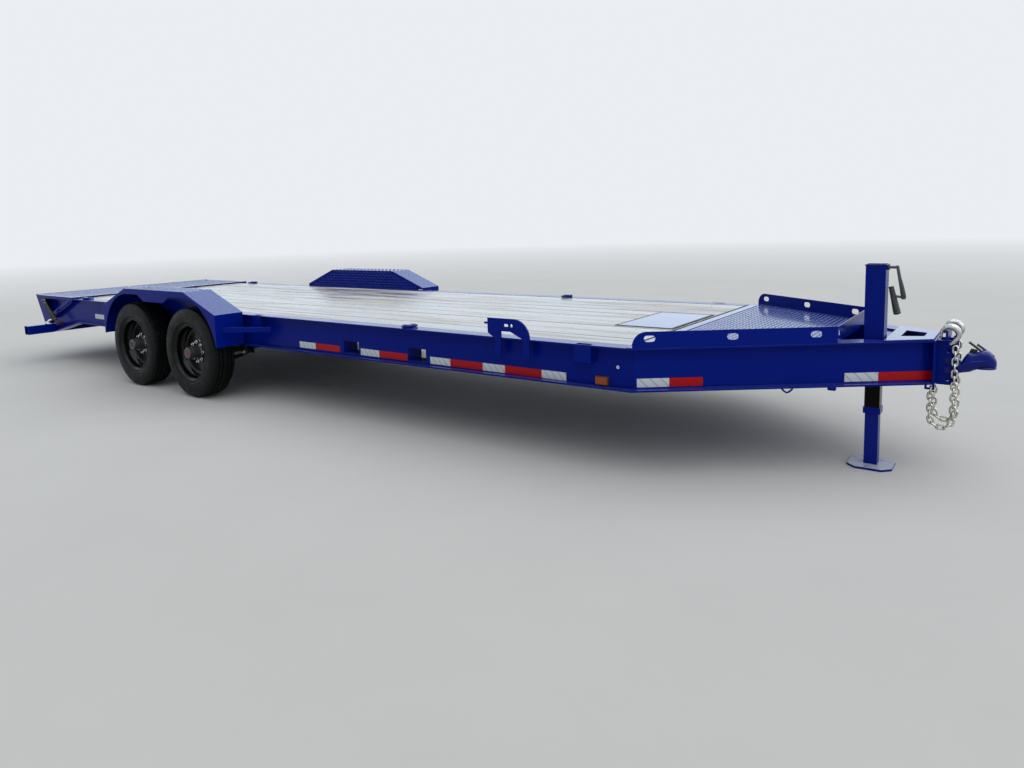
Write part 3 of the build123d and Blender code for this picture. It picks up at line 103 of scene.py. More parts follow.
class TrailerSizes(bpy.types.PropertyGroup):
    """Sizes that a user would change."""

    bar_length: length("Tread Bar Length", "Length of a raised bar on the tread plate", 0.027)
    bar_width: length("Tread Bar Width", "Width of a raised bar on the tread plate", 0.008)
    bar_pitch: length("Tread Bar Pitch", "Distance between the tread plate's bars", 0.029)
    board_edge: length("Board Edge", "Rounding of the deck boards' edges", 0.003)
    screw_size: length("Screw Head", "Width of a deck screw's head", 0.012)
    tape_thickness: length("Tape Thickness", "Thickness of the reflective tape", 0.0006)
    tread_depth: length("Tread Depth", "Depth of the tyres' grooves", 0.011)
    tyre_steps: IntProperty(
        name="Tyre Steps", description="Mesh steps round a tyre", default=180, min=60, max=360
    )
    link_stock: length("Link Stock", "Thickness of the chain links' bar", 0.0108)
    coil_turns: IntProperty(
        name="Coil Turns", description="Turns of a ramp spring", default=20, min=8, max=40
    )
    weld_width: length("Weld Width", "Width of a weld bead", 0.009)


class TrailerColours(bpy.types.PropertyGroup):
    """Colours that a user would change."""

    paint: swatch("Paint", "Powder coat on the frame", "#011A80")
    wood: swatch("Wood", "Pale part of the boards", "#C8C6C2")
    wood_dark: swatch("Wood Grain", "Dark grain of the boards", "#6A6663")
    tape_red: swatch("Red Tape", "Red reflective tape", "#B00A10")
    tape_white: swatch("White Tape", "White reflective tape", "#D0D6DA")
    floor: swatch("Floor", "Floor under the trailer", "#C2C2C0")


# Kinds of shader node that the finishes use
COORDS, MAPPING, NOISE = "ShaderNodeTexCoord", "ShaderNodeMapping", "ShaderNodeTexNoise"
VORONOI, WAVE, WHITE = "ShaderNodeTexVoronoi", "ShaderNodeTexWave", "ShaderNodeTexWhiteNoise"
RANGE, MATH, MIX, BUMP = "ShaderNodeMapRange", "ShaderNodeMath", "ShaderNodeMix", "ShaderNodeBump"
SPLIT, JOIN, BEVEL, GEOMETRY = (
    "ShaderNodeSeparateXYZ", "ShaderNodeCombineXYZ", "ShaderNodeBevel", "ShaderNodeNewGeometry"
)
# Settings that make a Mix node mix colours: inputs 0, 6 and 7 are the share and the two colours
RGBA = {"out": 2, "data_type": "RGBA"}


def set_inputs(tree, node, inputs):
    """Gives each named input its value, or a link from another node's output."""
    for name, value in inputs.items():
        if isinstance(value, bpy.types.NodeSocket):
            tree.links.new(value, node.inputs[name])
        else:
            node.inputs[name].default_value = value


def add_node(tree, kind, inputs=None, out=0, **settings):
    """Adds one node with its settings and inputs, and returns one of its outputs."""
    made = tree.nodes.new(kind)
    for name, value in settings.items():
        setattr(made, name, value)
    set_inputs(tree, made, inputs or {})
    return made if out is None else made.outputs[out]


def start_finish(name, colour, **sockets):
    """Makes a material and returns it with its tree, Principled shader and object coordinates."""
    finish = bpy.data.materials.new(name)
    finish.use_nodes = True
    tree = finish.node_tree
    shader = tree.nodes["Principled BSDF"]
    set_inputs(tree, shader, {"Base Color": (*colour, 1)})
    set_inputs(tree, shader, {socket.replace("_", " "): value for socket, value in sockets.items()})
    return finish, tree, shader, add_node(tree, COORDS, out="Object")


def powder_coat(name, colour, film_weight=0.5, painted_sky=0.06, dark_band=None):
    """Polyester powder coat, sprayed and baked on steel. The eye gets a deep, even blue with a faint orange
    peel and dried splash specks. On upward faces a film of rain mirrors the sky, and the colour is mixed
    towards pale blue there as a painted reflection of the sky. With dark_band, the colour turns near black
    between two heights."""
    finish, tree, shader, where = start_finish(
        name, colour, IOR=1.36, Specular_IOR_Level=0.1, Coat_IOR=1.45, Coat_Roughness=0.08
    )
    edges = add_node(tree, BEVEL, {"Radius": 0.005}, samples=4)
    facing_up = add_node(tree, SPLIT, {"Vector": edges}, out="Z")
    wet = add_node(
        tree, RANGE, {"Value": facing_up, "From Min": 0.3, "From Max": 0.85, "To Max": film_weight}
    )
    # Road film in patches about 0.3 m across, specks 6 to 12 mm across
    film = add_node(tree, NOISE, {"Vector": where, "Scale": 3.2, "Detail": 5.0, "Roughness": 0.6})
    film_share = add_node(tree, RANGE, {"Value": film, "From Min": 0.45, "From Max": 0.8, "To Max": 0.3})
    dusty = [c * 0.8 + 0.004 for c in colour]
    shade = add_node(tree, MIX, {0: film_share, 6: (*colour, 1), 7: (*dusty, 1)}, **RGBA)
    specks = add_node(tree, NOISE, {"Vector": where, "Scale": 150.0, "Detail": 1.0})
    speck_share = add_node(tree, RANGE, {"Value": specks, "From Min": 0.72, "From Max": 0.78, "To Max": 0.2})
    # Painted reflection: upward faces are mixed towards pale blue #8FA6DC, standing in for the sky mirrored
    # on them
    painted_sky_share = add_node(tree, RANGE, {"Value": facing_up, "From Min": 0.25, "From Max": 0.8, "To Max": painted_sky})
    shade = add_node(tree, MIX, {0: painted_sky_share, 6: shade, 7: (*linear("#8FA6DC"), 1)}, **RGBA)
    speck = [c * 0.6 + 0.12 for c in colour]
    shade = add_node(tree, MIX, {0: speck_share, 6: shade, 7: (*speck, 1)}, **RGBA)
    # Below the neck the jack tube turns near black between two heights; only the colour changes
    if dark_band:
        height = add_node(tree, SPLIT, {"Vector": where}, out="Z")
        low, high = dark_band
        above = add_node(tree, RANGE, {"Value": height, "From Min": low - 0.001, "From Max": low + 0.001})
        below = add_node(tree, RANGE, {"Value": height, "From Min": high + 0.001, "From Max": high - 0.001})
        inside = add_node(tree, MATH, {0: above, 1: below}, operation="MULTIPLY")
        shade = add_node(tree, MIX, {0: inside, 6: shade, 7: (*linear("#0B0807"), 1)}, **RGBA)
    dull = add_node(
        tree, RANGE, {"Value": film, "From Min": 0.35, "From Max": 0.75, "To Min": 0.15, "To Max": 0.3}
    )
    # The real orange peel is about 2 mm across, drawn at 8 mm so that it shows
    peel = add_node(tree, NOISE, {"Vector": where, "Scale": 125.0, "Detail": 1.0})
    skin = add_node(tree, BUMP, {"Height": peel, "Distance": 0.00008, "Strength": 0.6, "Normal": edges})
    set_inputs(tree, shader, {
        "Roughness": dull, "Coat Weight": wet, "Base Color": shade, "Coat Normal": skin, "Normal": skin,
    })
    return finish


def black_enamel():
    """Black chassis enamel, dipped: deep and softly glossy, with grey road dust in patches."""
    finish, tree, shader, where = start_finish("black_enamel_dipped", linear("#0A0A0B"), IOR=1.4)
    patches = add_node(tree, NOISE, {"Vector": where, "Scale": 9.0, "Detail": 5.0, "Roughness": 0.6})
    share = add_node(tree, RANGE, {"Value": patches, "From Min": 0.45, "From Max": 0.8})
    shade = add_node(tree, MIX, {0: share, 6: (*linear("#09090A"), 1), 7: (*linear("#1F1E1C"), 1)}, **RGBA)
    dull = add_node(
        tree, RANGE, {"Value": patches, "From Min": 0.4, "From Max": 0.75, "To Min": 0.28, "To Max": 0.6}
    )
    sags = add_node(tree, NOISE, {"Vector": where, "Scale": 160.0})
    edges = add_node(tree, BEVEL, {"Radius": 0.0015}, samples=4)
    skin = add_node(tree, BUMP, {"Height": sags, "Distance": 0.0003, "Strength": 0.5, "Normal": edges})
    set_inputs(tree, shader, {"Base Color": shade, "Roughness": dull, "Normal": skin})
    return finish


def wheel_enamel():
    """Black wheel enamel, baked: glossy, so that the steps of the dish catch the sky as pale rings."""
    finish, tree, shader, where = start_finish(
        "wheel_enamel_baked", linear("#050607"), IOR=1.4, Specular_IOR_Level=0.12, Coat_Weight=0.3,
        Coat_Roughness=0.04,
    )
    dust = add_node(tree, NOISE, {"Vector": where, "Scale": 20.0, "Detail": 5.0, "Roughness": 0.65})
    share = add_node(tree, RANGE, {"Value": dust, "From Min": 0.45, "From Max": 0.85, "To Max": 0.6})
    shade = add_node(tree, MIX, {0: share, 6: (*linear("#040506"), 1), 7: (*linear("#0E0D0D"), 1)}, **RGBA)
    dull = add_node(
        tree, RANGE, {"Value": dust, "From Min": 0.4, "From Max": 0.8, "To Min": 0.2, "To Max": 0.42}
    )
    set_inputs(tree, shader, {"Base Color": shade, "Roughness": dull})
    return finish


def pine_boards(pale, dark):
    """Treated pine, sawn and rained on. The eye gets pale grey boards that differ a little, long fine
    grain, few knots, and a wet skin that mirrors the sky in streaks."""
    finish, tree, shader, where = start_finish("treated_pine_sawn", pale, IOR=1.4, Coat_IOR=1.33)
    place = add_node(tree, SPLIT, {"Vector": where}, out="Y")
    # Boards are 189.6 mm from one to the next
    row = add_node(tree, MATH, {0: place, 1: 0.1896}, operation="DIVIDE")
    board = add_node(
        tree, WHITE, {"W": add_node(tree, MATH, {0: row}, operation="FLOOR")}, noise_dimensions="1D"
    )
    # Each board's grain starts somewhere else along X
    shift = add_node(tree, JOIN, {"X": add_node(tree, MATH, {0: board, 1: 37.0}, operation="MULTIPLY")})
    shifted = add_node(tree, "ShaderNodeVectorMath", {0: where, 1: shift})
    # Grain lines 6 mm apart and 1.2 m long, growth bands 35 mm wide, wet streaks 0.1 m wide
    line_place = add_node(tree, MAPPING, {"Vector": shifted, "Scale": (0.85, 170.0, 170.0)})
    lines = add_node(tree, NOISE, {"Vector": line_place, "Scale": 1.0, "Detail": 4.0, "Roughness": 0.65})
    band_place = add_node(tree, MAPPING, {"Vector": shifted, "Scale": (0.6, 28.0, 28.0)})
    bands = add_node(tree, NOISE, {"Vector": band_place, "Scale": 1.0, "Detail": 3.0})
    wet_place = add_node(tree, MAPPING, {"Vector": shifted, "Scale": (1.1, 9.0, 9.0)})
    wet = add_node(tree, NOISE, {"Vector": wet_place, "Scale": 1.0, "Detail": 4.0, "Roughness": 0.55})
    grain_share = add_node(tree, RANGE, {"Value": lines, "From Min": 0.47, "From Max": 0.72, "To Max": 0.6})
    shade = add_node(tree, MIX, {0: grain_share, 6: (*pale, 1), 7: (*dark, 1)}, **RGBA)
    band_share = add_node(tree, RANGE, {"Value": bands, "From Min": 0.46, "From Max": 0.72, "To Max": 0.5})
    shade = add_node(tree, MIX, {0: band_share, 6: shade, 7: (*linear("#9C958D"), 1)}, **RGBA)
    board_share = add_node(tree, MATH, {0: board, 1: 0.28}, operation="MULTIPLY")
    shade = add_node(tree, MIX, {0: board_share, 6: shade, 7: (*dark, 1)}, **RGBA)
    damp_share = add_node(tree, RANGE, {"Value": wet, "From Min": 0.52, "From Max": 0.66, "To Max": 0.35})
    damp = [c * 0.5 for c in dark]
    shade = add_node(tree, MIX, {0: damp_share, 6: shade, 7: (*damp, 1)}, **RGBA)
    # Darker along each board's edges, 9 mm wide
    across = add_node(tree, MATH, {0: row}, operation="FRACT")
    off = add_node(tree, MATH, {0: across, 1: 0.5}, operation="SUBTRACT")
    off = add_node(tree, MATH, {0: off}, operation="ABSOLUTE")
    wander = add_node(
        tree, RANGE, {"Value": bands, "From Min": 0.3, "From Max": 0.7, "To Min": 0.35, "To Max": 1.0}
    )
    edge_share = add_node(tree, RANGE, {"Value": off, "From Min": 0.425, "From Max": 0.485, "To Max": wander})
    shade = add_node(tree, MIX, {0: edge_share, 6: shade, 7: (*linear("#2E2C2A"), 1)}, **RGBA)
    # Knots about 20 mm across, one or two on a metre of board
    knot_place = add_node(tree, MAPPING, {"Vector": shifted, "Scale": (2.4, 6.0, 6.0)})
    knots = add_node(tree, VORONOI, {"Vector": knot_place, "Scale": 1.0, "Randomness": 1.0}, out="Distance")
    knot_share = add_node(
        tree, RANGE, {"Value": knots, "From Min": 0.045, "From Max": 0.085, "To Min": 0.85, "To Max": 0.0}
    )
    shade = add_node(tree, MIX, {0: knot_share, 6: shade, 7: (*linear("#43362C"), 1)}, **RGBA)
    dull = add_node(
        tree, RANGE, {"Value": wet, "From Min": 0.38, "From Max": 0.6, "To Min": 0.45, "To Max": 0.18}
    )
    film = add_node(
        tree, RANGE, {"Value": wet, "From Min": 0.36, "From Max": 0.55, "To Min": 0.0, "To Max": 0.55}
    )
    skin = add_node(tree, BUMP, {"Height": lines, "Distance": 0.0008, "Strength": 0.45})
    set_inputs(tree, shader, {
        "Base Color": shade, "Roughness": dull, "Coat Weight": film, "Normal": skin, "Coat Roughness": 0.12,
    })
    return finish


def tyre_rubber():
    """Tyre rubber, moulded: near black and dull, with a soft sheen on the sidewall and dust on the tread."""
    finish, tree, shader, where = start_finish(
        "tyre_rubber_moulded", linear("#08090A"), IOR=1.4, Specular_IOR_Level=0.22
    )
    dust = add_node(tree, NOISE, {"Vector": where, "Scale": 16.0, "Detail": 6.0, "Roughness": 0.65})
    share = add_node(tree, RANGE, {"Value": dust, "From Min": 0.45, "From Max": 0.8, "To Max": 0.5})
    shade = add_node(tree, MIX, {0: share, 6: (*linear("#070808"), 1), 7: (*linear("#161514"), 1)}, **RGBA)
    dull = add_node(
        tree, RANGE, {"Value": dust, "From Min": 0.4, "From Max": 0.7, "To Min": 0.42, "To Max": 0.7}
    )
    fine = add_node(tree, NOISE, {"Vector": where, "Scale": 260.0})
    skin = add_node(tree, BUMP, {"Height": fine, "Distance": 0.0004, "Strength": 0.5})
    set_inputs(tree, shader, {"Base Color": shade, "Roughness": dull, "Normal": skin})
    return finish


def zinc_plate(name, colour, roughness):
    """Steel, zinc plated: pale silver with soft spangles that differ in brightness."""
    finish, tree, shader, where = start_finish(name, colour, Metallic=1.0)
    spangle = add_node(tree, VORONOI, {"Vector": where, "Scale": 110.0}, out="Color")
    shade = add_node(tree, "ShaderNodeSeparateColor", {"Color": spangle})
    share = add_node(tree, MATH, {0: shade, 1: 0.8}, operation="MULTIPLY")
    darker = [c * 0.5 for c in colour]
    mixed = add_node(tree, MIX, {0: share, 6: (*colour, 1), 7: (*darker, 1)}, **RGBA)
    dull = add_node(tree, RANGE, {"Value": shade, "To Min": roughness * 0.8, "To Max": roughness * 1.5})
    set_inputs(tree, shader, {"Base Color": mixed, "Roughness": dull})
    return finish


def cast_iron(name, light, dark, metallic):
    """Iron, sand cast and painted thin: a rough skin with dull highlights, shinier where paint has pooled."""
    finish, tree, shader, where = start_finish(
        name, light, Metallic=metallic, Roughness=0.34, Specular_IOR_Level=0.5 if metallic else 0.2,
        Coat_IOR=1.33, Coat_Roughness=0.12,
    )
    if not metallic:
        edges = add_node(tree, BEVEL, {"Radius": 0.003}, samples=4)
        facing_up = add_node(tree, SPLIT, {"Vector": edges}, out="Z")
        wet = add_node(tree, RANGE, {"Value": facing_up, "From Min": 0.35, "From Max": 0.9})
        set_inputs(tree, shader, {"Coat Weight": wet})
    skin = add_node(tree, NOISE, {"Vector": where, "Scale": 240.0, "Detail": 4.0, "Roughness": 0.6})
    share = add_node(tree, RANGE, {"Value": skin, "From Min": 0.35, "From Max": 0.7})
    shade = add_node(tree, MIX, {0: share, 6: (*light, 1), 7: (*dark, 1)}, **RGBA)
    rough = add_node(tree, BUMP, {"Height": skin, "Distance": 0.0006, "Strength": 0.5})
    set_inputs(tree, shader, {"Base Color": shade, "Normal": rough})
    return finish


def lamp_lens(name, colour):
    """Lamp lens, moulded acrylic: deep colour and a wet gloss over ribs 5 mm apart."""
    finish, tree, shader, where = start_finish(name, colour, Roughness=0.12, IOR=1.49)
    ribs = add_node(tree, WAVE, {"Vector": where, "Scale": 50.0}, bands_direction="DIAGONAL")
    share = add_node(tree, RANGE, {"Value": ribs, "From Min": 0.2, "From Max": 0.8})
    deep = [c * 0.5 for c in colour]
    shade = add_node(tree, MIX, {0: share, 6: (*colour, 1), 7: (*deep, 1)}, **RGBA)
    skin = add_node(tree, BUMP, {"Height": ribs, "Distance": 0.0008, "Strength": 0.4})
    set_inputs(tree, shader, {"Base Color": shade, "Normal": skin})
    return finish


def reflective_tape(name, colour, mark):
    """Retroreflective film, embossed: bright flat colour with slanted seal lines, drawn 36 mm apart."""
    finish, tree, shader, where = start_finish(name, colour, IOR=1.4, Specular_IOR_Level=0.25)
    slant = add_node(tree, MAPPING, {"Vector": where, "Rotation": (0, radians(38), 0)})
    lines = add_node(tree, WAVE, {"Vector": slant, "Scale": 8.7}, bands_direction="X")
    share = add_node(tree, RANGE, {"Value": lines, "From Min": 0.88, "From Max": 0.97, "To Max": 0.4})
    shade = add_node(tree, MIX, {0: share, 6: (*colour, 1), 7: (*mark, 1)}, **RGBA)
    dull = add_node(
        tree, RANGE, {"Value": lines, "From Min": 0.2, "From Max": 0.9, "To Min": 0.28, "To Max": 0.42}
    )
    set_inputs(tree, shader, {"Base Color": shade, "Roughness": dull})
    return finish


def rubber(name, light, dark):
    """Rubber, dipped or moulded: dull and finely wrinkled, paler where it is rubbed."""
    finish, tree, shader, where = start_finish(name, light, Roughness=0.55, IOR=1.45)
    wrinkle = add_node(tree, NOISE, {"Vector": where, "Scale": 150.0, "Detail": 3.0, "Roughness": 0.6})
    share = add_node(tree, RANGE, {"Value": wrinkle, "From Min": 0.35, "From Max": 0.7})
    shade = add_node(tree, MIX, {0: share, 6: (*dark, 1), 7: (*light, 1)}, **RGBA)
    skin = add_node(tree, BUMP, {"Height": wrinkle, "Distance": 0.0008, "Strength": 0.6})
    set_inputs(tree, shader, {"Base Color": shade, "Normal": skin})
    return finish


def foot_with_painted_sky(colour):
    """Blue steel foot plate, its top painted pale grey with streaks as a painted sky reflection, blue left
    near the leg.
    """
    finish, tree, shader, where = start_finish(
        "powder_coat_painted_sky_top", linear("#9AA2B4"), Roughness=0.3, IOR=1.36, Specular_IOR_Level=0.2
    )
    pale_streak_place = add_node(tree, MAPPING, {"Vector": where, "Scale": (24.0, 330.0, 330.0)})
    pale_streaks = add_node(tree, NOISE, {"Vector": pale_streak_place, "Scale": 1.0, "Detail": 3.0})
    blue_patches = add_node(tree, NOISE, {"Vector": where, "Scale": 18.0, "Detail": 4.0, "Roughness": 0.6})
    share = add_node(tree, RANGE, {"Value": pale_streaks, "From Min": 0.4, "From Max": 0.7})
    painted_sky_grey = add_node(tree, MIX, {0: share, 6: (*linear("#B4BCCC"), 1), 7: (*linear("#6F7688"), 1)}, **RGBA)
    height = add_node(tree, SPLIT, {"Vector": where}, out="Z")
    plate = add_node(
        tree, RANGE, {"Value": height, "From Min": 0.013, "From Max": 0.016, "To Min": 1.0, "To Max": 0.0}
    )
    left = add_node(
        tree, RANGE, {"Value": blue_patches, "From Min": 0.62, "From Max": 0.7, "To Min": 1.0, "To Max": 0.2}
    )
    plate = add_node(tree, MATH, {0: plate, 1: left}, operation="MULTIPLY")
    # Only faces pointing up get the pale grey: a painted reflection of the sky
    facing_up = add_node(tree, SPLIT, {"Vector": add_node(tree, GEOMETRY, out="Normal")}, out="Z")
    top = add_node(tree, MATH, {0: facing_up, 1: 0.5}, operation="GREATER_THAN")
    plate = add_node(tree, MATH, {0: plate, 1: top}, operation="MULTIPLY")
    shade = add_node(tree, MIX, {0: plate, 6: (*colour, 1), 7: painted_sky_grey}, **RGBA)
    edges = add_node(tree, BEVEL, {"Radius": 0.0025}, samples=4)
    skin = add_node(tree, BUMP, {"Height": pale_streaks, "Distance": 0.0002, "Strength": 0.5, "Normal": edges})
    set_inputs(tree, shader, {"Base Color": shade, "Normal": skin})
    return finish


finishes = {}


def finish_named(name):
    """The finish of that name, made the first time it is asked for."""
    if name not in finishes:
        colours = bpy.context.scene.trailer_colours
        paint = list(colours.paint)
        # The tread bars' paint is mixed a fifth of the way to pale blue: a painted highlight where the raised
        # bars catch the sky
        bar_paint_painted_highlight = [0.8 * c + 0.2 * pale for c, pale in zip(paint, linear("#8FA6DC"))]
        amber, red = linear("#A8480C"), linear("#7A080C")
        makers = {
            # The numbers after film_weight set how strongly each coat's upward faces are painted pale, a
            # painted reflection of the sky
            "blue": lambda: powder_coat("powder_coat_blue_baked", paint),
            "wet_blue": lambda: powder_coat("powder_coat_blue_rained_on", paint, film_weight=1.0, painted_sky=0.3),
            "winch": lambda: powder_coat("powder_coat_blue_under_water", paint, film_weight=1.0, painted_sky=0.5),
            "plate": lambda: powder_coat("tread_plate_powder_coated", paint, film_weight=0.9, painted_sky=0.28),
            "floor": lambda: powder_coat("tread_floor_powder_coated", paint, film_weight=0.65, painted_sky=0.14),
            "bars": lambda: powder_coat("tread_bars_powder_coated", bar_paint_painted_highlight, film_weight=1.0, painted_sky=0.65),
            "ramps": lambda: powder_coat("ramp_plate_powder_coated", paint, film_weight=1.0, painted_sky=0.4),
            "jack": lambda: powder_coat("powder_coat_dark_band", paint, dark_band=(0.327, 0.4555)),
            "foot": lambda: foot_with_painted_sky(paint),
            "black": black_enamel,
            "wheel": wheel_enamel,
            "boards": lambda: pine_boards(list(colours.wood), list(colours.wood_dark)),
            "tyre": tyre_rubber,
            "zinc": lambda: zinc_plate("steel_zinc_plated", linear("#D6D2C4"), 0.22),
            "nuts": lambda: zinc_plate("nut_steel_zinc_plated", linear("#E2E3E6"), 0.2),
            "hook": lambda: zinc_plate("forged_steel_zinc_plated", linear("#CFCDC8"), 0.36),
            "casting": lambda: cast_iron("grey_iron_cast", linear("#5C5D60"), linear("#3A3B3D"), 0.6),
            "cast_blue": lambda: cast_iron("cast_iron_painted", paint, [c * 0.6 for c in paint], 0.0),
            "red_lens": lambda: lamp_lens("acrylic_lens_red_moulded", red),
            "amber_lens": lambda: lamp_lens("acrylic_lens_amber_moulded", amber),
            "red_tape": lambda: reflective_tape(
                "reflective_film_red_embossed", list(colours.tape_red), linear("#9C0A0E")
            ),
            "white_tape": lambda: reflective_tape(
                "reflective_film_white_embossed", list(colours.tape_white), linear("#4E565E")
            ),
            "grip": lambda: rubber("grip_rubber_dipped", linear("#4A4B4E"), linear("#1E1F21")),
            # Black rubber strips that stand for the shadow in the deck's gaps
            "seal": lambda: rubber("black_rubber_painted_gap_shadow", linear("#0C0C0D"), linear("#050506")),
            "grommet": lambda: rubber("grommet_rubber_moulded", linear("#2A2A2C"), linear("#121213")),
        }
        finishes[name] = makers[name]()
    return finishes[name]


# Mesh shapes, all added to one bmesh that becomes a piece

def make_piece(name, shapes, finish, body="frame", instead_of=(), bevel=0.0, sharp=35):
    """Turns a bmesh into a finished piece that rides on a body."""
    mesh = bpy.data.meshes.new(name)
    bmesh.ops.recalc_face_normals(shapes, faces=shapes.faces)
    shapes.to_mesh(mesh)
    shapes.free()
    mesh.shade_smooth()
    mesh.set_sharp_from_angle(angle=radians(sharp))
    piece = bpy.data.objects.new(name, mesh)
    bpy.context.scene.collection.objects.link(piece)
    mesh.materials.append(finish_named(finish))
    if bevel:
        rounding = piece.modifiers.new("rounded_edges", "BEVEL")
        rounding.width = bevel
        rounding.segments = 2
        rounding.limit_method = "ANGLE"
        rounding.angle_limit = radians(40)
    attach(piece, body)
    if instead_of:
        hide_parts(*instead_of)


def upright(y):
    """Frame of an upright plane across Y: outline x forward, y up, normal towards -Y."""
    return Matrix(((1, 0, 0, 0), (0, 0, -1, y), (0, 1, 0, 0), (0, 0, 0, 1)))


def facing(point, normal, up=(0, 0, 1)):
    """Frame at a point whose local Z is the normal."""
    z = Vector(normal).normalized()
    x = Vector(up).cross(z)
    x = x.normalized() if x.length > 1e-6 else Vector((1, 0, 0))
    y = z.cross(x)
    return Matrix((
        (x.x, y.x, z.x, point[0]), (x.y, y.y, z.y, point[1]), (x.z, y.z, z.z, point[2]), (0, 0, 0, 1)
    ))


def add_prism(shapes, outline, place, low, high):
    """Adds an outline of local points, drawn out from low to high along the place's Z."""
    bottom = [shapes.verts.new(place @ Vector((u, v, low))) for u, v in outline]
    top = [shapes.verts.new(place @ Vector((u, v, high))) for u, v in outline]
    shapes.faces.new(bottom[::-1])
    shapes.faces.new(top)
    for i in range(len(outline)):
        j = (i + 1) % len(outline)
        shapes.faces.new((bottom[i], bottom[j], top[j], top[i]))


def add_block(shapes, low, high):
    """Adds a box between two corners."""
    (x0, y0, z0), (x1, y1, z1) = low, high
    add_prism(shapes, [(x0, y0), (x1, y0), (x1, y1), (x0, y1)], Matrix.Identity(4), z0, z1)


def polygon(radius, sides, turn=0.0):
    """Points of a regular polygon."""
    angles = [turn + 2 * pi * i / sides for i in range(sides)]
    return [(radius * cos(a), radius * sin(a)) for a in angles]


def obround(length, height, steps=8):
    """Points of a slot shape with round ends."""
    r = height / 2
    run = length / 2 - r
    right = [(run + r * cos(a), r * sin(a)) for a in (-pi / 2 + pi * i / steps for i in range(steps + 1))]
    return right + [(-u, -v) for u, v in right]


def add_lathe(shapes, profile, centre, side, steps, closed=True, shape_radius=None):
    """Turns a profile of (out, radius) points about a wheel's axis, out along side."""
    rings = []
    for i in range(steps):
        angle = 2 * pi * i / steps
        ring = []
        for index, (out, radius) in enumerate(profile):
            r = radius if shape_radius is None else shape_radius(index, i, radius)
            ring.append(shapes.verts.new((
                centre[0] + r * cos(angle), centre[1] + side * out, centre[2] + r * sin(angle)
            )))
        rings.append(ring)
    count = len(profile)
    for i in range(steps):
        a, b = rings[i], rings[(i + 1) % steps]
        for k in range(count if closed else count - 1):
            m = (k + 1) % count
            shapes.faces.new((a[k], a[m], b[m], b[k]))


def add_tube(shapes, points, radius, sides=8, closed=False):
    """Sweeps a round section along points; radius is one number, or a list with one for each point."""
    points = [Vector(p) for p in points]
    count = len(points)
    rings = []
    across = None
    for i, point in enumerate(points):
        if closed:
            ahead = points[(i + 1) % count] - points[i - 1]
        else:
            ahead = points[min(i + 1, count - 1)] - points[max(i - 1, 0)]
        ahead.normalize()
        if across is None:
            across = ahead.orthogonal().normalized()
        across = (across - ahead * across.dot(ahead)).normalized()
        other = ahead.cross(across)
        r = radius[i] if isinstance(radius, list) else radius
        rings.append([
            shapes.verts.new(
                point + across * r * cos(2 * pi * k / sides) + other * r * sin(2 * pi * k / sides)
            )
            for k in range(sides)
        ])
    for i in range(count if closed else count - 1):
        a, b = rings[i], rings[(i + 1) % count]
        offset = 0
        if closed and i == count - 1:
            offset = min(range(sides), key=lambda s: (b[s].co - a[0].co).length)
        for k in range(sides):
            shapes.faces.new((
                a[k], a[(k + 1) % sides], b[(k + 1 + offset) % sides], b[(k + offset) % sides]
            ))
    if not closed:
        shapes.faces.new(rings[0][::-1])
        shapes.faces.new(rings[-1])


def add_bolt(shapes, point, normal, size=0.019, height=0.012, washer=0.003):
    """Adds a hex head on a washer, standing on a surface."""
    place = facing(point, normal)
    add_prism(shapes, polygon(size * 0.95, 16), place, -0.001, washer)
    add_prism(shapes, polygon(size * 0.577, 6), place, washer - 0.0005, washer + height)
    add_prism(shapes, polygon(size * 0.33, 10), place, washer + height - 0.001, washer + height + 0.005)


def add_weld(shapes, points, width, rng):
    """Adds a bead along a seam, rippled every 9 mm as stacked dimes are."""
    points = [Vector(p) for p in points]
    path = []
    for start, end in zip(points, points[1:]):
        steps = max(2, int((end - start).length / 0.009))
        path += [start.lerp(end, i / steps) for i in range(steps)]
    path.append(points[-1])
    radii = []
    for i in range(len(path)):
        ripple = 0.14 if i % 2 else -0.1
        radii.append(width / 2 * (1.0 + ripple + rng.uniform(-0.05, 0.05)))
    add_tube(shapes, path, radii, 6)


def both_sides(shapes):
    """Copies what is in the shapes to the other side of the centre line."""
    made = bmesh.ops.duplicate(shapes, geom=shapes.verts[:] + shapes.edges[:] + shapes.faces[:])
    for item in made["geom"]:
        if isinstance(item, bmesh.types.BMVert):
            item.co.y = -item.co.y


def neck_place(x, z, out=0.0):
    """Point on the near neck beam's outer flange line at x, moved out by out."""
    y = -(RAIL_HALF - tan(NECK_ANGLE) * (x - BEND_X))
    return Vector((x + out * sin(NECK_ANGLE), y - out * cos(NECK_ANGLE), z))


def rounded_section(half_width, low, high):
    """Points across and up of a round-cornered section between two heights."""
    power, sides = 3.2, 20
    middle, half_height = (low + high) / 2, (high - low) / 2
    points = []
    for i in range(sides):
        a = 2 * pi * (i + 0.5) / sides
        u, v = cos(a), sin(a)
        reach = (abs(u) ** power + abs(v) ** power) ** (-1 / power)
        points.append((half_width * reach * u, middle + half_height * reach * v))
    return points


def add_loft(shapes, sections):
    """Joins sections of (x, half width, low, high), one behind the other along X."""
    rings = [
        [shapes.verts.new((x, u, v)) for u, v in rounded_section(half_width, low, high)]
        for x, half_width, low, high in sections
    ]
    for a, b in zip(rings, rings[1:]):
        for k in range(len(a)):
            shapes.faces.new((a[k], a[(k + 1) % len(a)], b[(k + 1) % len(a)], b[k]))
    shapes.faces.new(rings[0][::-1])
    shapes.faces.new(rings[-1])


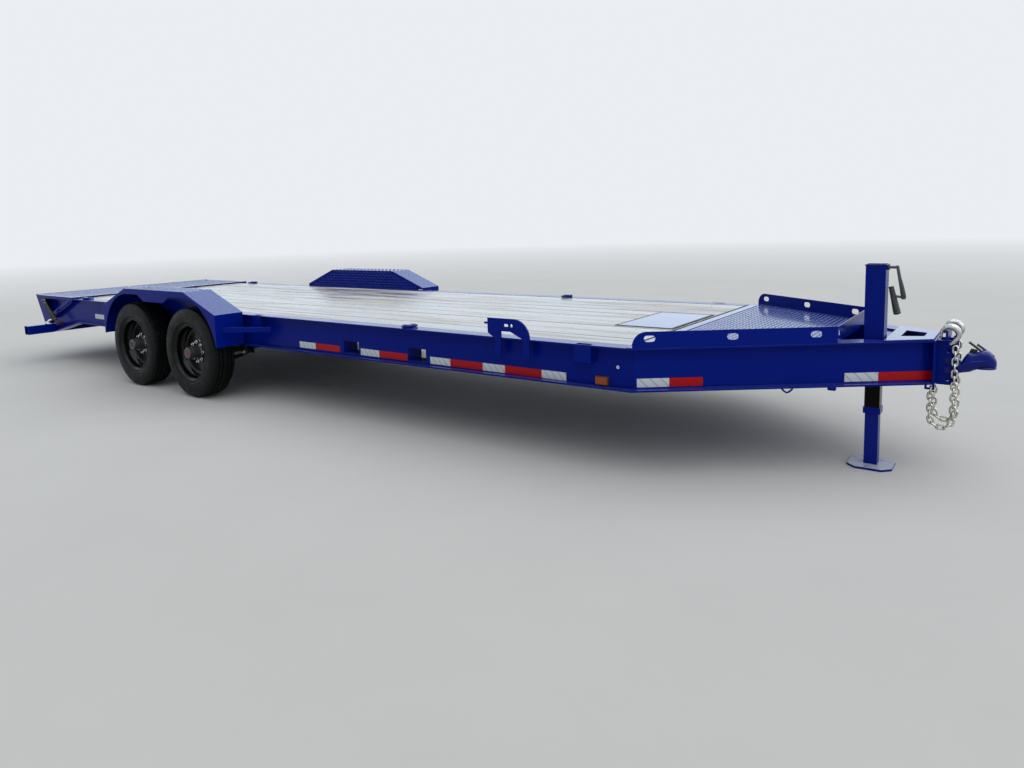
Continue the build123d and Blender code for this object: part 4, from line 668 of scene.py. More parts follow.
def rounded_plate(length, height, corner=0.008, steps=4):
    """Points of a rectangle with round corners."""
    points = []
    for cx, cy, start in ((1, 1, 0), (-1, 1, 1), (-1, -1, 2), (1, -1, 3)):
        for i in range(steps + 1):
            a = (start + i / steps) * pi / 2
            points.append((
                cx * (length / 2 - corner) + corner * cos(a), cy * (height / 2 - corner) + corner * sin(a)
            ))
    return points


class TrailerOperator:
    """What each operator of the trailer shares."""

    bl_options = {"REGISTER", "UNDO"}

    def execute(self, context):
        self.build(context.scene.trailer_sizes)
        return {"FINISHED"}


class TRAILER_OT_frame_finishes(TrailerOperator, bpy.types.Operator):
    """Give each part of the frame its paint, enamel or plating"""

    bl_idname = "trailer.frame_finishes"
    bl_label = "Frame Finishes"

    def build(self, sizes):
        by_slot = {
            "blue_paint": "blue", "black_paint": "black", "deck_wood": "boards", "tyre": "tyre",
            "zinc_steel": "zinc", "grey_metal": "casting", "red_lens": "red_lens", "amber_lens": "amber_lens",
        }
        by_node = {
            "front_tray": "floor", "fender_left": "plate", "fender_right": "plate", "ramp_left": "ramps",
            "ramp_right": "ramps", "jack_tube": "jack", "jack_leg": "foot", "tie_rings": "blue",
            "winch_plate": "winch", "nose_top_plate": "wet_blue",
        }
        for part in frame["record"]["subparts"]:
            node = frame["nodes"][part["node"]]
            finish = by_node.get(part["node"], by_slot[part["material_slot"]])
            node.data.materials.clear()
            node.data.materials.append(finish_named(finish))


class TRAILER_OT_deck(TrailerOperator, bpy.types.Operator):
    """Lay the deck's ten boards, with rounded edges, and their screws"""

    bl_idname = "trailer.deck"
    bl_label = "Deck Boards"

    def build(self, sizes):
        rng = random.Random(7)
        (x0, y0, z0), (x1, y1, z1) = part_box("deck_boards")
        plate_low, plate_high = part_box("winch_plate")
        # The boards end short of the tray. Black strips in that gap and round the winch plate are painted
        # shadow of the gaps.
        joint_width, joint_top, clear, sunk = 0.016, 0.703, 0.001, 0.0004
        x1 -= joint_width
        gap_shadow_strips = bmesh.new()
        add_block(gap_shadow_strips, (x1 + clear, y0, z0), (x1 + joint_width - clear, y1, joint_top))
        rim = 0.017
        for low, high in (
            ((plate_low.x - rim, plate_low.y - rim), (plate_low.x - clear, plate_high.y + rim)),
            ((plate_high.x + clear, plate_low.y - rim), (plate_high.x + rim, plate_high.y + rim)),
            ((plate_low.x, plate_low.y - rim), (plate_high.x, plate_low.y - clear)),
            ((plate_low.x, plate_high.y + clear), (plate_high.x, plate_high.y + rim)),
        ):
            add_block(gap_shadow_strips, (*low, z0), (*high, plate_high.z - sunk))
        make_piece("deck_gap_shadow_strips", gap_shadow_strips, "seal", bevel=0.001)
        count, gap, slit, wear = 10, 0.004, 0.02, 0.0015
        pitch = (y1 - y0 + gap) / count
        cut_x0, cut_x1 = plate_low.x - slit, plate_high.x + slit
        cut_y0, cut_y1 = plate_low.y - slit, plate_high.y + slit
        boards = bmesh.new()
        for i in range(count):
            near = y0 + i * pitch
            far = near + pitch - gap
            runs = [(x0, x1)]
            if far > cut_y0 and near < cut_y1:
                runs = [(x0, cut_x0), (cut_x1, x1)]
                if near <= cut_y0 or far >= cut_y1:
                    # A board that is cut out on one side only keeps a strip beside the plate
                    a, b = (near, cut_y0) if near < plate_low.y else (cut_y1, far)
                    add_block(boards, (cut_x0, a, z0), (cut_x1, b, z1))
            for a, b in runs:
                add_block(boards, (a, near, z0), (b, far, z1 - rng.uniform(0, wear)))
        make_piece(
            "deck_planks", boards, "boards", instead_of=("deck_boards",), bevel=sizes.board_edge
        )
        screws = bmesh.new()
        first_x, beam_pitch, sway = AXLES_X + 4.11, 0.406, 0.006
        for k in range(16):
            x = first_x - beam_pitch * k
            for i in range(count):
                for share in (0.22, 0.78):
                    y = y0 + i * pitch + share * (pitch - gap) + rng.uniform(-sway, sway)
                    if cut_x0 < x < cut_x1 and cut_y0 < y < cut_y1:
                        continue
                    place = facing((x + rng.uniform(-0.008, 0.008), y, z1 - 0.0012), (0, 0, 1))
                    add_prism(screws, polygon(sizes.screw_size / 2, 10), place, -0.003, 0.0007)
        make_piece("deck_screws", screws, "black")


class TRAILER_OT_tape(TrailerOperator, bpy.types.Operator):
    """Stick the red and white reflective tape on the rails and the neck"""

    bl_idname = "trailer.tape"
    bl_label = "Reflective Tape"

    def build(self, sizes):
        rail_runs = [
            ("white", 1.575, 1.763), ("red", 1.763, 2.036), ("white", 2.257, 2.444), ("red", 2.444, 2.714),
            ("white", 2.919, 3.091), ("red", 3.091, 3.355), ("white", 3.355, 3.524), ("red", 3.524, 3.789),
            ("white", 3.789, 3.955), ("white", -1.796, -1.6),
        ]
        neck_runs = [
            ("white", 4.415, 4.553), ("red", 4.553, 4.697), ("white", 5.3, 5.443), ("red", 5.443, 5.672),
        ]
        front_low, rear_low, neck_low = 0.472, 0.505, 0.481
        web_in = (FLANGE - 0.007) / 2
        for colour, slot in (("white", "zinc_steel"), ("red", "red_lens")):
            tape = bmesh.new()
            for run_colour, start, end in rail_runs:
                if run_colour == colour:
                    low = front_low if start > 0 else rear_low
                    a, b = AXLES_X + start, AXLES_X + end
                    outline = [(a, low), (b, low), (b, low + TAPE), (a, low + TAPE)]
                    add_prism(tape, outline, upright(-WEB_FACE_Y), 0.0, sizes.tape_thickness)
            for run_colour, start, end in neck_runs:
                if run_colour == colour:
                    a = neck_place(AXLES_X + start, 0, -web_in)
                    b = neck_place(AXLES_X + end, 0, -web_in)
                    along = (b - a).length
                    place = facing(a, (sin(NECK_ANGLE), -cos(NECK_ANGLE), 0))
                    top = neck_low + TAPE
                    outline = [(0, neck_low), (along, neck_low), (along, top), (0, top)]
                    add_prism(tape, outline, place, 0.0, sizes.tape_thickness)
            both_sides(tape)
            make_piece("tape_" + colour, tape, colour + "_tape")


class TRAILER_OT_tyres(TrailerOperator, bpy.types.Operator):
    """Mould the tyres with their ribs, grooves, shoulder blocks and sidewall rings"""

    bl_idname = "trailer.tyres"
    bl_label = "Tyres"

    def build(self, sizes):
        deep = sizes.tread_depth
        half = [
            (0.0, 0.377, 0), (0.016, 0.3768, 0), (0.018, 0.377 - deep, 1), (0.025, 0.377 - deep, 1),
            (0.027, 0.3764, 0), (0.046, 0.3755, 0), (0.048, 0.3755 - deep, 1), (0.055, 0.375 - deep, 1),
            (0.057, 0.3742, 0), (0.07, 0.3725, 2), (0.084, 0.369, 2), (0.09, 0.363, 2), (0.0935, 0.354, 3),
            (0.0975, 0.343, 4), (0.101, 0.33, 4), (0.1022, 0.329, 4), (0.103, 0.317, 4), (0.105, 0.305, 4),
            (0.1055, 0.295, 4), (0.105, 0.283, 4), (0.1035, 0.272, 4), (0.104, 0.27, 4), (0.102, 0.26, 4),
            (0.0985, 0.25, 4), (0.095, 0.244, 4), (0.09, 0.24, 4), (0.086, 0.2385, 4), (0.078, 0.222, 4),
        ]
        profile = [(-out, r) for out, r, kind in reversed(half[1:])] + [(out, r) for out, r, kind in half]
        kinds = [kind for out, r, kind in reversed(half[1:])] + [kind for out, r, kind in half]

        def shape(index, step, radius):
            kind = kinds[index]
            if kind == 2 and step % 3 == 0:
                return radius - deep * 0.4
            if kind == 3 and step % 3 == 0:
                return radius - deep * 0.12
            if kind == 0 and abs(profile[index][0]) > 0.001 and step % 3 == 1:
                return radius - 0.003
            return radius

        for end, side, name in WHEELS:
            shapes = bmesh.new()
            centre = (AXLES_X + end * HALF_SPREAD, side * WHEEL_Y, AXLE_Z)
            add_lathe(shapes, profile, centre, side, sizes.tyre_steps, shape_radius=shape)
            make_piece(
                "tyre_treaded_" + name, shapes, "tyre", "wheel_" + name, ("tyre_" + name,), sharp=28
            )


class TRAILER_OT_wheels(TrailerOperator, bpy.types.Operator):
    """Spin the steel rims, and fit the hubs with their caps, studs and nuts"""

    bl_idname = "trailer.wheels"
    bl_label = "Rims and Hubs"

    def build(self, sizes):
        disc, bolt_circle = -0.004, 0.08255
        for end, side, name in WHEELS:
            centre = Vector((AXLES_X + end * HALF_SPREAD, side * WHEEL_Y, AXLE_Z))
            body = "wheel_" + name
            rim = bmesh.new()
            profile = [
                (0.093, 0.2375), (0.095, 0.2345), (0.0945, 0.231), (0.092, 0.2275), (0.087, 0.225),
                (0.083, 0.219), (0.079, 0.2155), (0.06, 0.212), (0.04, 0.2085), (0.034, 0.204),
                (0.028, 0.199), (0.015, 0.196), (0.008, 0.192), (0.004, 0.185), (0.001, 0.17),
                (-0.001, 0.145), (disc, 0.118), (disc, 0.062), (disc - 0.012, 0.062), (disc - 0.012, 0.112),
                (-0.012, 0.145), (-0.015, 0.19), (-0.04, 0.203), (-0.081, 0.215), (-0.095, 0.23),
                (-0.095, 0.2375), (-0.09, 0.238), (-0.087, 0.225), (-0.076, 0.2205), (-0.04, 0.21),
                (0.04, 0.216), (0.076, 0.2205), (0.087, 0.227), (0.09, 0.236),
            ]
            add_lathe(rim, profile, centre, side, 96)
            make_piece("rim_spun_" + name, rim, "wheel", body, ("rim_" + name,), sharp=30)
            hub = bmesh.new()
            cap = [
                (disc - 0.016, 0.06), (disc + 0.016, 0.06), (disc + 0.022, 0.056), (disc + 0.03, 0.052),
                (0.07, 0.05), (0.072, 0.0515), (0.078, 0.0515), (0.08, 0.0495), (0.096, 0.049),
                (0.108, 0.0465), (0.112, 0.042), (0.1125, 0.03), (0.1105, 0.028), (0.1105, 0.0),
            ]
            back = [(disc - 0.0145, 0.165), (disc - 0.11, 0.165), (disc - 0.11, 0.149), (-0.04, 0.149),
                    (-0.04, 0.05), (-0.112, 0.05), (-0.112, 0.0285), (0.04, 0.0285), (0.04, 0.0)]
            add_lathe(hub, cap, centre, side, 48, closed=False)
            add_lathe(hub, back + cap[:1], centre, side, 48, closed=False)
            make_piece("hub_cast_" + name, hub, "casting", body, ("hub_" + name,), sharp=30)
            nuts = bmesh.new()
            for k in range(8):
                angle = 2 * pi * k / 8
                at = centre + Vector((bolt_circle * cos(angle), side * disc, bolt_circle * sin(angle)))
                place = facing(at, (0, side, 0))
                for radius, sides, turn, low, high in (
                    (0.0165, 20, 0, 0.0, 0.004), (0.015, 6, k, 0.004, 0.026), (0.012, 6, k, 0.026, 0.028),
                    (0.0075, 10, 0, 0.028, 0.04),
                ):
                    add_prism(nuts, polygon(radius, sides, turn), place, low, high)
            make_piece("wheel_nuts_" + name, nuts, "nuts", body, bevel=0.0008)
            valve = bmesh.new()
            foot = centre + Vector((0.15, side * 0.002, -0.105))
            tip = centre + Vector((0.158, side * 0.05, -0.112))
            stem = [foot, foot.lerp(tip, 0.5), foot.lerp(tip, 0.52), tip]
            add_tube(valve, stem, [0.0085, 0.007, 0.0052, 0.0056], 10)
            make_piece("valve_stem_" + name, valve, "nuts", body)
            plug = bmesh.new()
            face = [(0.1106, 0.0), (0.1106, 0.024), (0.112, 0.0255), (0.112, 0.0)]
            add_lathe(plug, face, centre, side, 32, closed=False)
            finish, slot = ("red_lens", "red_lens") if end > 0 else ("grommet", "black_paint")
            make_piece("hub_plug_" + name, plug, finish, body)


def stadium(centre, ahead, wide, long_half, wide_half, steps=5):
    """Middle line of a chain link: a loop with two round ends."""
    run = long_half - wide_half
    points = []
    for end in (1, -1):
        for i in range(steps + 1):
            a = -pi / 2 + pi * i / steps
            u = end * (run + wide_half * cos(a))
            v = end * wide_half * sin(a)
            points.append(centre + ahead * u + wide * v)
    return points


def chain_places():
    """Centre and direction of each link along one chain: down, round a bend and up."""
    pitch, down, turn, up = LINK_PITCH, 5, 5, 12
    x0, z0 = AXLES_X + 5.64, 0.44
    bend_r = pitch / (2 * sin(pi / 2 / turn))
    mid_r = bend_r * cos(pi / 2 / turn)
    z1 = z0 - down * pitch
    places = [(x0, z0 - (i + 0.5) * pitch, -90) for i in range(down)]
    for i in range(turn):
        angle = pi + (i + 0.5) * pi / turn
        places.append(
            (x0 + bend_r + mid_r * cos(angle), z1 + mid_r * sin(angle), -90 + (i + 0.5) * 180 / turn)
        )
    places += [(x0 + 2 * bend_r, z1 + (i + 0.5) * pitch, 90) for i in range(up)]
    return places


class TRAILER_OT_chains(TrailerOperator, bpy.types.Operator):
    """Hang the two safety chains, with round bar links"""

    bl_idname = "trailer.chains"
    bl_label = "Safety Chains"

    def build(self, sizes):
        shapes = bmesh.new()
        stock, half_width, slack = sizes.link_stock, 0.0118, 0.0003
        half_length = LINK_PITCH / 2 + stock / 2 - slack
        rng = random.Random(3)
        for side in (-1, 1):
            for index, (x, z, turn) in enumerate(chain_places()):
                run = radians(turn)
                ahead = Vector((cos(run), 0, sin(run)))
                wide = ahead.cross(Vector((0, 1, 0))) if index % 2 else Vector((0, 1, 0))
                lean = Matrix.Rotation(rng.uniform(-0.22, 0.22), 3, ahead)
                link = stadium(Vector((x, side * CHAIN_Y, z)), ahead, lean @ wide, half_length, half_width)
                add_tube(shapes, link, stock / 2, 8, closed=True)
        make_piece("chain_links", shapes, "zinc", instead_of=("safety_chains",), sharp=60)


class TRAILER_OT_bolts(TrailerOperator, bpy.types.Operator):
    """Set the bolts in the coupler's channel, the spare mount, the hinges and the rails"""

    bl_idname = "trailer.bolts"
    bl_label = "Bolts"

    def build(self, sizes):
        bright, painted = bmesh.new(), bmesh.new()
        add_bolt(bright, (AXLES_X + 4.282, -WEB_FACE_Y, 0.582), (0, -1, 0), 0.01, 0.006, 0.001)
        for y in (-0.911, -0.53, -0.149):
            add_bolt(bright, (-4.34, y - 0.092, 0.4), (0, -1, 0), 0.019, 0.008)
        both_sides(bright)
        for y in (-1, 1):
            for z in (0.535, 0.585):
                add_bolt(painted, (AXLES_X + 5.713, y * 0.062, z), (0, y, 0), 0.019, 0.008)
        make_piece("bolts", bright, "nuts", sharp=30)
        make_piece("bolts_painted", painted, "cast_blue", sharp=30)


class TRAILER_OT_welds(TrailerOperator, bpy.types.Operator):
    """Lay the painted weld beads along the frame's seams"""

    bl_idname = "trailer.welds"
    bl_label = "Welds"

    def build(self, sizes):
        rng = random.Random(11)
        beads = bmesh.new()
        width = sizes.weld_width
        top = 0.684
        for x, y, low in (
            (1.11 - 0.0525, -WEB_FACE_Y - 0.001, 0.6), (1.11 + 0.0525, -WEB_FACE_Y - 0.001, 0.6),
            (4.09 - 0.0525, -WEB_FACE_Y - 0.001, 0.6), (4.09 + 0.0525, -WEB_FACE_Y - 0.001, 0.6),
            (3.521, -1.0515, 0.59), (3.724, -1.0515, 0.59),
        ):
            add_weld(beads, [(AXLES_X + x, y, low), (AXLES_X + x, y, top)], width * 0.7, rng)
        seam_z = 0.6985
        for start, end in ((-2.25, -1.85), (-1.85, -1.4), (-1.4, -0.95), (-0.95, -0.54)):
            add_weld(beads, [(start, -RAIL_HALF, seam_z), (end, -RAIL_HALF, seam_z)], width * 0.9, rng)
        both_sides(beads)
        make_piece("weld_beads", beads, "blue", sharp=60)


class TRAILER_OT_coupler(TrailerOperator, bpy.types.Operator):
    """Cast the ball coupler with its bulging socket, and its latch with two lever bars"""

    bl_idname = "trailer.coupler"
    bl_label = "Coupler and Latch"

    def build(self, sizes):
        casting = bmesh.new()
        add_loft(casting, [
            (BALL_X - 0.203, 0.046, 0.505, 0.614), (BALL_X - 0.149, 0.047, 0.51, 0.612),
            (BALL_X - 0.123, 0.0475, 0.513, 0.598), (BALL_X - 0.109, 0.0465, 0.515, 0.572),
            (BALL_X - 0.097, 0.045, 0.518, 0.596), (BALL_X - 0.084, 0.044, 0.52, 0.618),
            (BALL_X - 0.07, 0.043, 0.523, 0.627), (BALL_X - 0.05, 0.043, 0.534, 0.6265),
            (BALL_X - 0.036, 0.044, 0.54, 0.631), (BALL_X - 0.024, 0.045, 0.5445, 0.64),
            (BALL_X - 0.01, 0.0455, 0.546, 0.643), (BALL_X + 0.004, 0.045, 0.5475, 0.642),
            (BALL_X + 0.016, 0.043, 0.549, 0.635), (BALL_X + 0.028, 0.038, 0.5505, 0.62),
            (BALL_X + 0.037, 0.03, 0.552, 0.605), (BALL_X + 0.043, 0.02, 0.554, 0.592),
            (BALL_X + 0.046, 0.01, 0.56, 0.58),
        ])
        rim = [
            (BALL_X + 0.0415 * cos(a), 0.0415 * sin(a), 0.55 - 0.004 * max(0.0, -cos(a)))
            for a in (2 * pi * i / 40 for i in range(40))
        ]
        add_tube(casting, rim, 0.0045, 8, closed=True)
        for side in (-1, 1):
            add_tube(
                casting, [(BALL_X - 0.1, side * 0.044, 0.56), (BALL_X - 0.06, side * 0.0435, 0.58),
                          (BALL_X - 0.01, side * 0.0425, 0.59), (BALL_X + 0.022, side * 0.034, 0.586)],
                [0.0045, 0.0055, 0.0055, 0.004], 8,
            )
        make_piece("coupler_cast", casting, "cast_blue", instead_of=("coupler",), sharp=50)
        latch = bmesh.new()
        side_on = upright(0.0)
        for base, tip, wide in (
            ((4.402, 0.679), (4.463, 0.629), 0.013), ((4.438, 0.669), (4.512, 0.611), 0.01)
        ):
            run = Vector((tip[0] - base[0], tip[1] - base[1])).normalized() * 0.5
            across = Vector((-run.y, run.x)) * 0.009
            outline = [
                (base[0] - across.x, base[1] - across.y), (tip[0] - across.x, tip[1] - across.y),
                (tip[0] + across.x, tip[1] + across.y), (base[0] + across.x, base[1] + across.y),
            ]
            add_prism(latch, outline, side_on, -wide, wide)
        for x, reach, z, radius, sides in (
            (4.404, 0.021, 0.676, 0.0042, 10), (4.44, 0.019, 0.667, 0.0045, 10),
            (4.424, 0.02, 0.63, 0.0065, 12)
        ):
            add_tube(latch, [(x, -reach, z), (x, reach, z)], radius, sides)
        add_prism(
            latch, [(4.394, 0.606), (4.434, 0.606), (4.441, 0.64), (4.412, 0.646)], side_on, -0.007, 0.007
        )
        make_piece(
            "latch_lever", latch, "black", instead_of=("coupler_latch",), bevel=0.001, sharp=40
        )


class TRAILER_OT_hooks(TrailerOperator, bpy.types.Operator):
    """Forge the two chain hooks, thick at the crown and thin at the tip"""

    bl_idname = "trailer.hooks"
    bl_label = "Chain Hooks"

    def build(self, sizes):
        shapes = bmesh.new()
        x, z = 4.325, 0.7297
        for side in (-1, 1):
            y = side * CHAIN_Y
            points = [(x, y, 0.6735), (x + 0.002, y, 0.679), (x + 0.014, y, 0.687)]
            radii = [0.008, 0.0095, 0.0115]
            for i in range(19):
                share = i / 18
                angle = radians(-45 + 241 * share)
                points.append((x - 0.003 + 0.039 * cos(angle), y, z - 0.001 + 0.039 * sin(angle)))
                swell = max(0.0, sin(pi * min(1.0, share * 1.18))) ** 1.5
                radii.append(0.0108 + 0.0066 * swell - 0.0045 * max(0.0, share - 0.65) / 0.35)
            add_tube(shapes, points, radii, 14)
            latch = [(x - 0.042, y, z - 0.012), (x - 0.044, y, z - 0.026)]
            add_tube(shapes, latch, [0.0085, 0.0045], 10)
        make_piece("hooks_forged", shapes, "hook", instead_of=("chain_hooks",), sharp=60)


class TRAILER_OT_crank(TrailerOperator, bpy.types.Operator):
    """Bend the jack's crank, with its tapered knob and ribbed rubber grip"""

    bl_idname = "trailer.crank"
    bl_label = "Jack Crank"

    def build(self, sizes):
        y = JACK_Y
        steel = bmesh.new()
        add_tube(steel, [(4.0373, y, 1.076), (4.086, y, 1.076)], 0.0075, 12)
        add_tube(steel, [(4.0373, y, 1.076), (4.048, y, 1.076)], 0.015, 16)
        arm = [(4.076, 1.085), (4.089, 1.085), (4.1245, 0.915), (4.106, 0.911)]
        add_prism(steel, arm, upright(y), -0.009, 0.009)
        add_tube(steel, [(4.118, y, 0.918), (4.08, y, 0.925), (4.058, y, 0.945)], 0.0065, 12)
        make_piece(
            "crank_bent", steel, "casting", instead_of=("jack_crank",), bevel=0.0012, sharp=40
        )
        grip = bmesh.new()
        start, end = Vector((4.056, y, 0.975)), Vector((4.09, y, 0.829))
        count = 41
        radii = [
            (0.0125 + 0.0065 * i / (count - 1)) * (0.91 if i % 4 == 0 else 1.0) for i in range(count - 2)
        ] + [0.017, 0.01]
        add_tube(grip, [start.lerp(end, i / (count - 1)) for i in range(count)], radii, 16)
        knob = [(4.096 + 0.022 * i / 8, y, 1.02 - 0.11 * i / 8) for i in range(9)]
        add_tube(grip, knob, [0.006, 0.0085, 0.0095, 0.0105, 0.0112, 0.012, 0.0125, 0.0125, 0.008], 16)
        make_piece("crank_grip", grip, "grip", sharp=50)


class TRAILER_OT_ramp_springs(TrailerOperator, bpy.types.Operator):
    """Wind the ramps' assist springs on their rods"""

    bl_idname = "trailer.ramp_springs"
    bl_label = "Ramp Springs"

    def build(self, sizes):
        shapes = bmesh.new()
        low, high = Vector((-3.921, -1.085, 0.424)), Vector((-4.225, -1.085, 0.656))
        along = (high - low).normalized()
        side, rise = Vector((0, 1, 0)), along.cross(Vector((0, 1, 0)))
        add_tube(shapes, [low, high], 0.008, 12)
        steps = sizes.coil_turns * 12
        coil = []
        for i in range(steps + 1):
            share = 0.16 + 0.68 * i / steps
            angle = 2 * pi * sizes.coil_turns * i / steps
            coil.append(low.lerp(high, share) + (side * cos(angle) + rise * sin(angle)) * 0.0165)
        add_tube(shapes, coil, 0.004, 6)
        for share in (0.14, 0.86):
            at = low.lerp(high, share)
            add_tube(shapes, [at - along * 0.005, at + along * 0.005], 0.02, 20)
        for end in (low, high):
            add_tube(shapes, [end - side * 0.009, end + side * 0.009], 0.0195, 20)
            add_tube(shapes, [end - side * 0.02, end + side * 0.02], 0.0085, 6)
        both_sides(shapes)
        make_piece("springs_wound", shapes, "casting", instead_of=("ramp_springs",), sharp=40)


class TRAILER_OT_lamps(TrailerOperator, bpy.types.Operator):
    """Fit the tail, marker and clearance lamps: domed lenses in rubber grommets"""

    bl_idname = "trailer.lamps"
    bl_label = "Lamps"

    def build(self, sizes):
        red, amber, rubber_rings = bmesh.new(), bmesh.new(), bmesh.new()

        def fit(lens, place, outline, height):
            steps = 5
            for k in range(steps):
                rise = height * sin(pi / 2 * k / steps)
                next_rise = height * sin(pi / 2 * (k + 1) / steps)
                shrink = cos(pi / 2 * 0.8 * k / steps) ** 0.25
                ring = [(u * shrink * 0.9, v * shrink * 0.84) for u, v in outline]
                add_prism(lens, ring, place, rise * 0.98, next_rise)
            add_prism(rubber_rings, outline, place, -0.001, height * 0.42)

        bumper_rear, bumper_z = -4.235, 0.353
        tail, middle = obround(0.165, 0.06), obround(0.064, 0.024)
        for y in (-1.15, -0.72, 0.72, 1.15, -0.075, 0.0, 0.075):
            outline = tail if abs(y) > 0.5 else middle
            fit(red, facing((bumper_rear, y, bumper_z), (-1, 0, 0)), outline, 0.01)
        for side in (-1, 1):
            out = (0, side, 0)
            fit(red, facing((-4.045, side * WEB_FACE_Y, 0.4), out), rounded_plate(0.086, 0.04), 0.02)
            fit(amber, facing((2.793, side * WEB_FACE_Y, 0.5), out), rounded_plate(0.086, 0.052), 0.02)
        make_piece(
            "lenses_red", red, "red_lens", instead_of=("tail_lamps", "red_markers"), sharp=40
        )
        make_piece("lenses_amber", amber, "amber_lens", instead_of=("amber_markers",), sharp=40)
        make_piece("lamp_grommets", rubber_rings, "grommet", bevel=0.0015, sharp=40)


class TRAILER_OT_running_gear(TrailerOperator, bpy.types.Operator):
    """Clamp the springs to the axles with U-bolts and tie plates"""

    bl_idname = "trailer.running_gear"
    bl_label = "Running Gear"

    def build(self, sizes):
        shapes = bmesh.new()
        leg = 0.036
        for end in (-1, 1):
            x = AXLES_X + end * HALF_SPREAD
            for step in (-0.055, 0.055):
                bends = [pi * i / 10 for i in range(11)]
                crown = [(x + step, -SPRING_Y + leg * cos(a), 0.41 + leg * sin(a)) for a in bends]
                ends = [(x + step, -SPRING_Y + way * leg, 0.258) for way in (1, -1)]
                add_tube(shapes, [ends[0], *crown, ends[1]], 0.0065, 8)
                for y in (-leg, leg):
                    nut = facing((x + step, -SPRING_Y + y, 0.2615), (0, 0, -1))
                    add_prism(shapes, polygon(0.0125, 6), nut, -0.011, 0.001)
            add_block(shapes, (x - 0.075, -SPRING_Y - 0.048, 0.262), (x + 0.075, -SPRING_Y + 0.048, 0.269))
            for reach in (-0.381, 0.381):
                add_bolt(shapes, (x + reach, -1.0092, 0.377), (0, -1, 0), 0.022, 0.01)
        both_sides(shapes)
        make_piece("spring_clamps", shapes, "zinc", sharp=40)


class TRAILER_OT_neck_fittings(TrailerOperator, bpy.types.Operator):
    """Weld the neck's hooks and blocks, the strip behind the tray, the ring clips and the jack's cap"""

    bl_idname = "trailer.neck_fittings"
    bl_label = "Neck Fittings"

    def build(self, sizes):
        shapes = bmesh.new()
        add_tube(
            shapes, [(3.615, -0.58, 0.467), (3.632, -0.58, 0.45), (3.645, -0.58, 0.443),
                     (3.658, -0.58, 0.45), (3.675, -0.58, 0.467)], 0.005, 10,
        )
        block = facing((3.835, -0.44, 0.458), (0, -1, 0))
        add_prism(shapes, rounded_plate(0.04, 0.018, 0.004), block, -0.012, 0.012)
        both_sides(shapes)
        strip = bmesh.new()
        behind_tray = facing((BEND_X, 0.0, TRAY_Z), (0, 0, 1), (0, 1, 0))
        add_prism(strip, rounded_plate(0.056, 1.86, 0.006), behind_tray, 0.0, 0.003)
        make_piece("tray_strip", strip, "wet_blue", bevel=0.0008, sharp=40)
        cap = facing((JACK_X, JACK_Y, 1.086), (0, 0, 1))
        add_prism(shapes, rounded_plate(0.108, 0.108, 0.012), cap, 0.0, 0.006)
        add_tube(shapes, [(JACK_X, JACK_Y, 1.085), (JACK_X, JACK_Y, 1.0915)], 0.014, 16)
        make_piece("neck_fittings", shapes, "blue", bevel=0.001, sharp=40)
        clips = bmesh.new()
        for x in (-3.365, 1.335):
            clip = facing((x, -1.0, 0.7073), (0, 0, 1))
            add_prism(clips, rounded_plate(0.06, 0.022, 0.005), clip, 0.0, 0.006)
        both_sides(clips)
        make_piece("ring_clips", clips, "blue", bevel=0.0015, sharp=40)


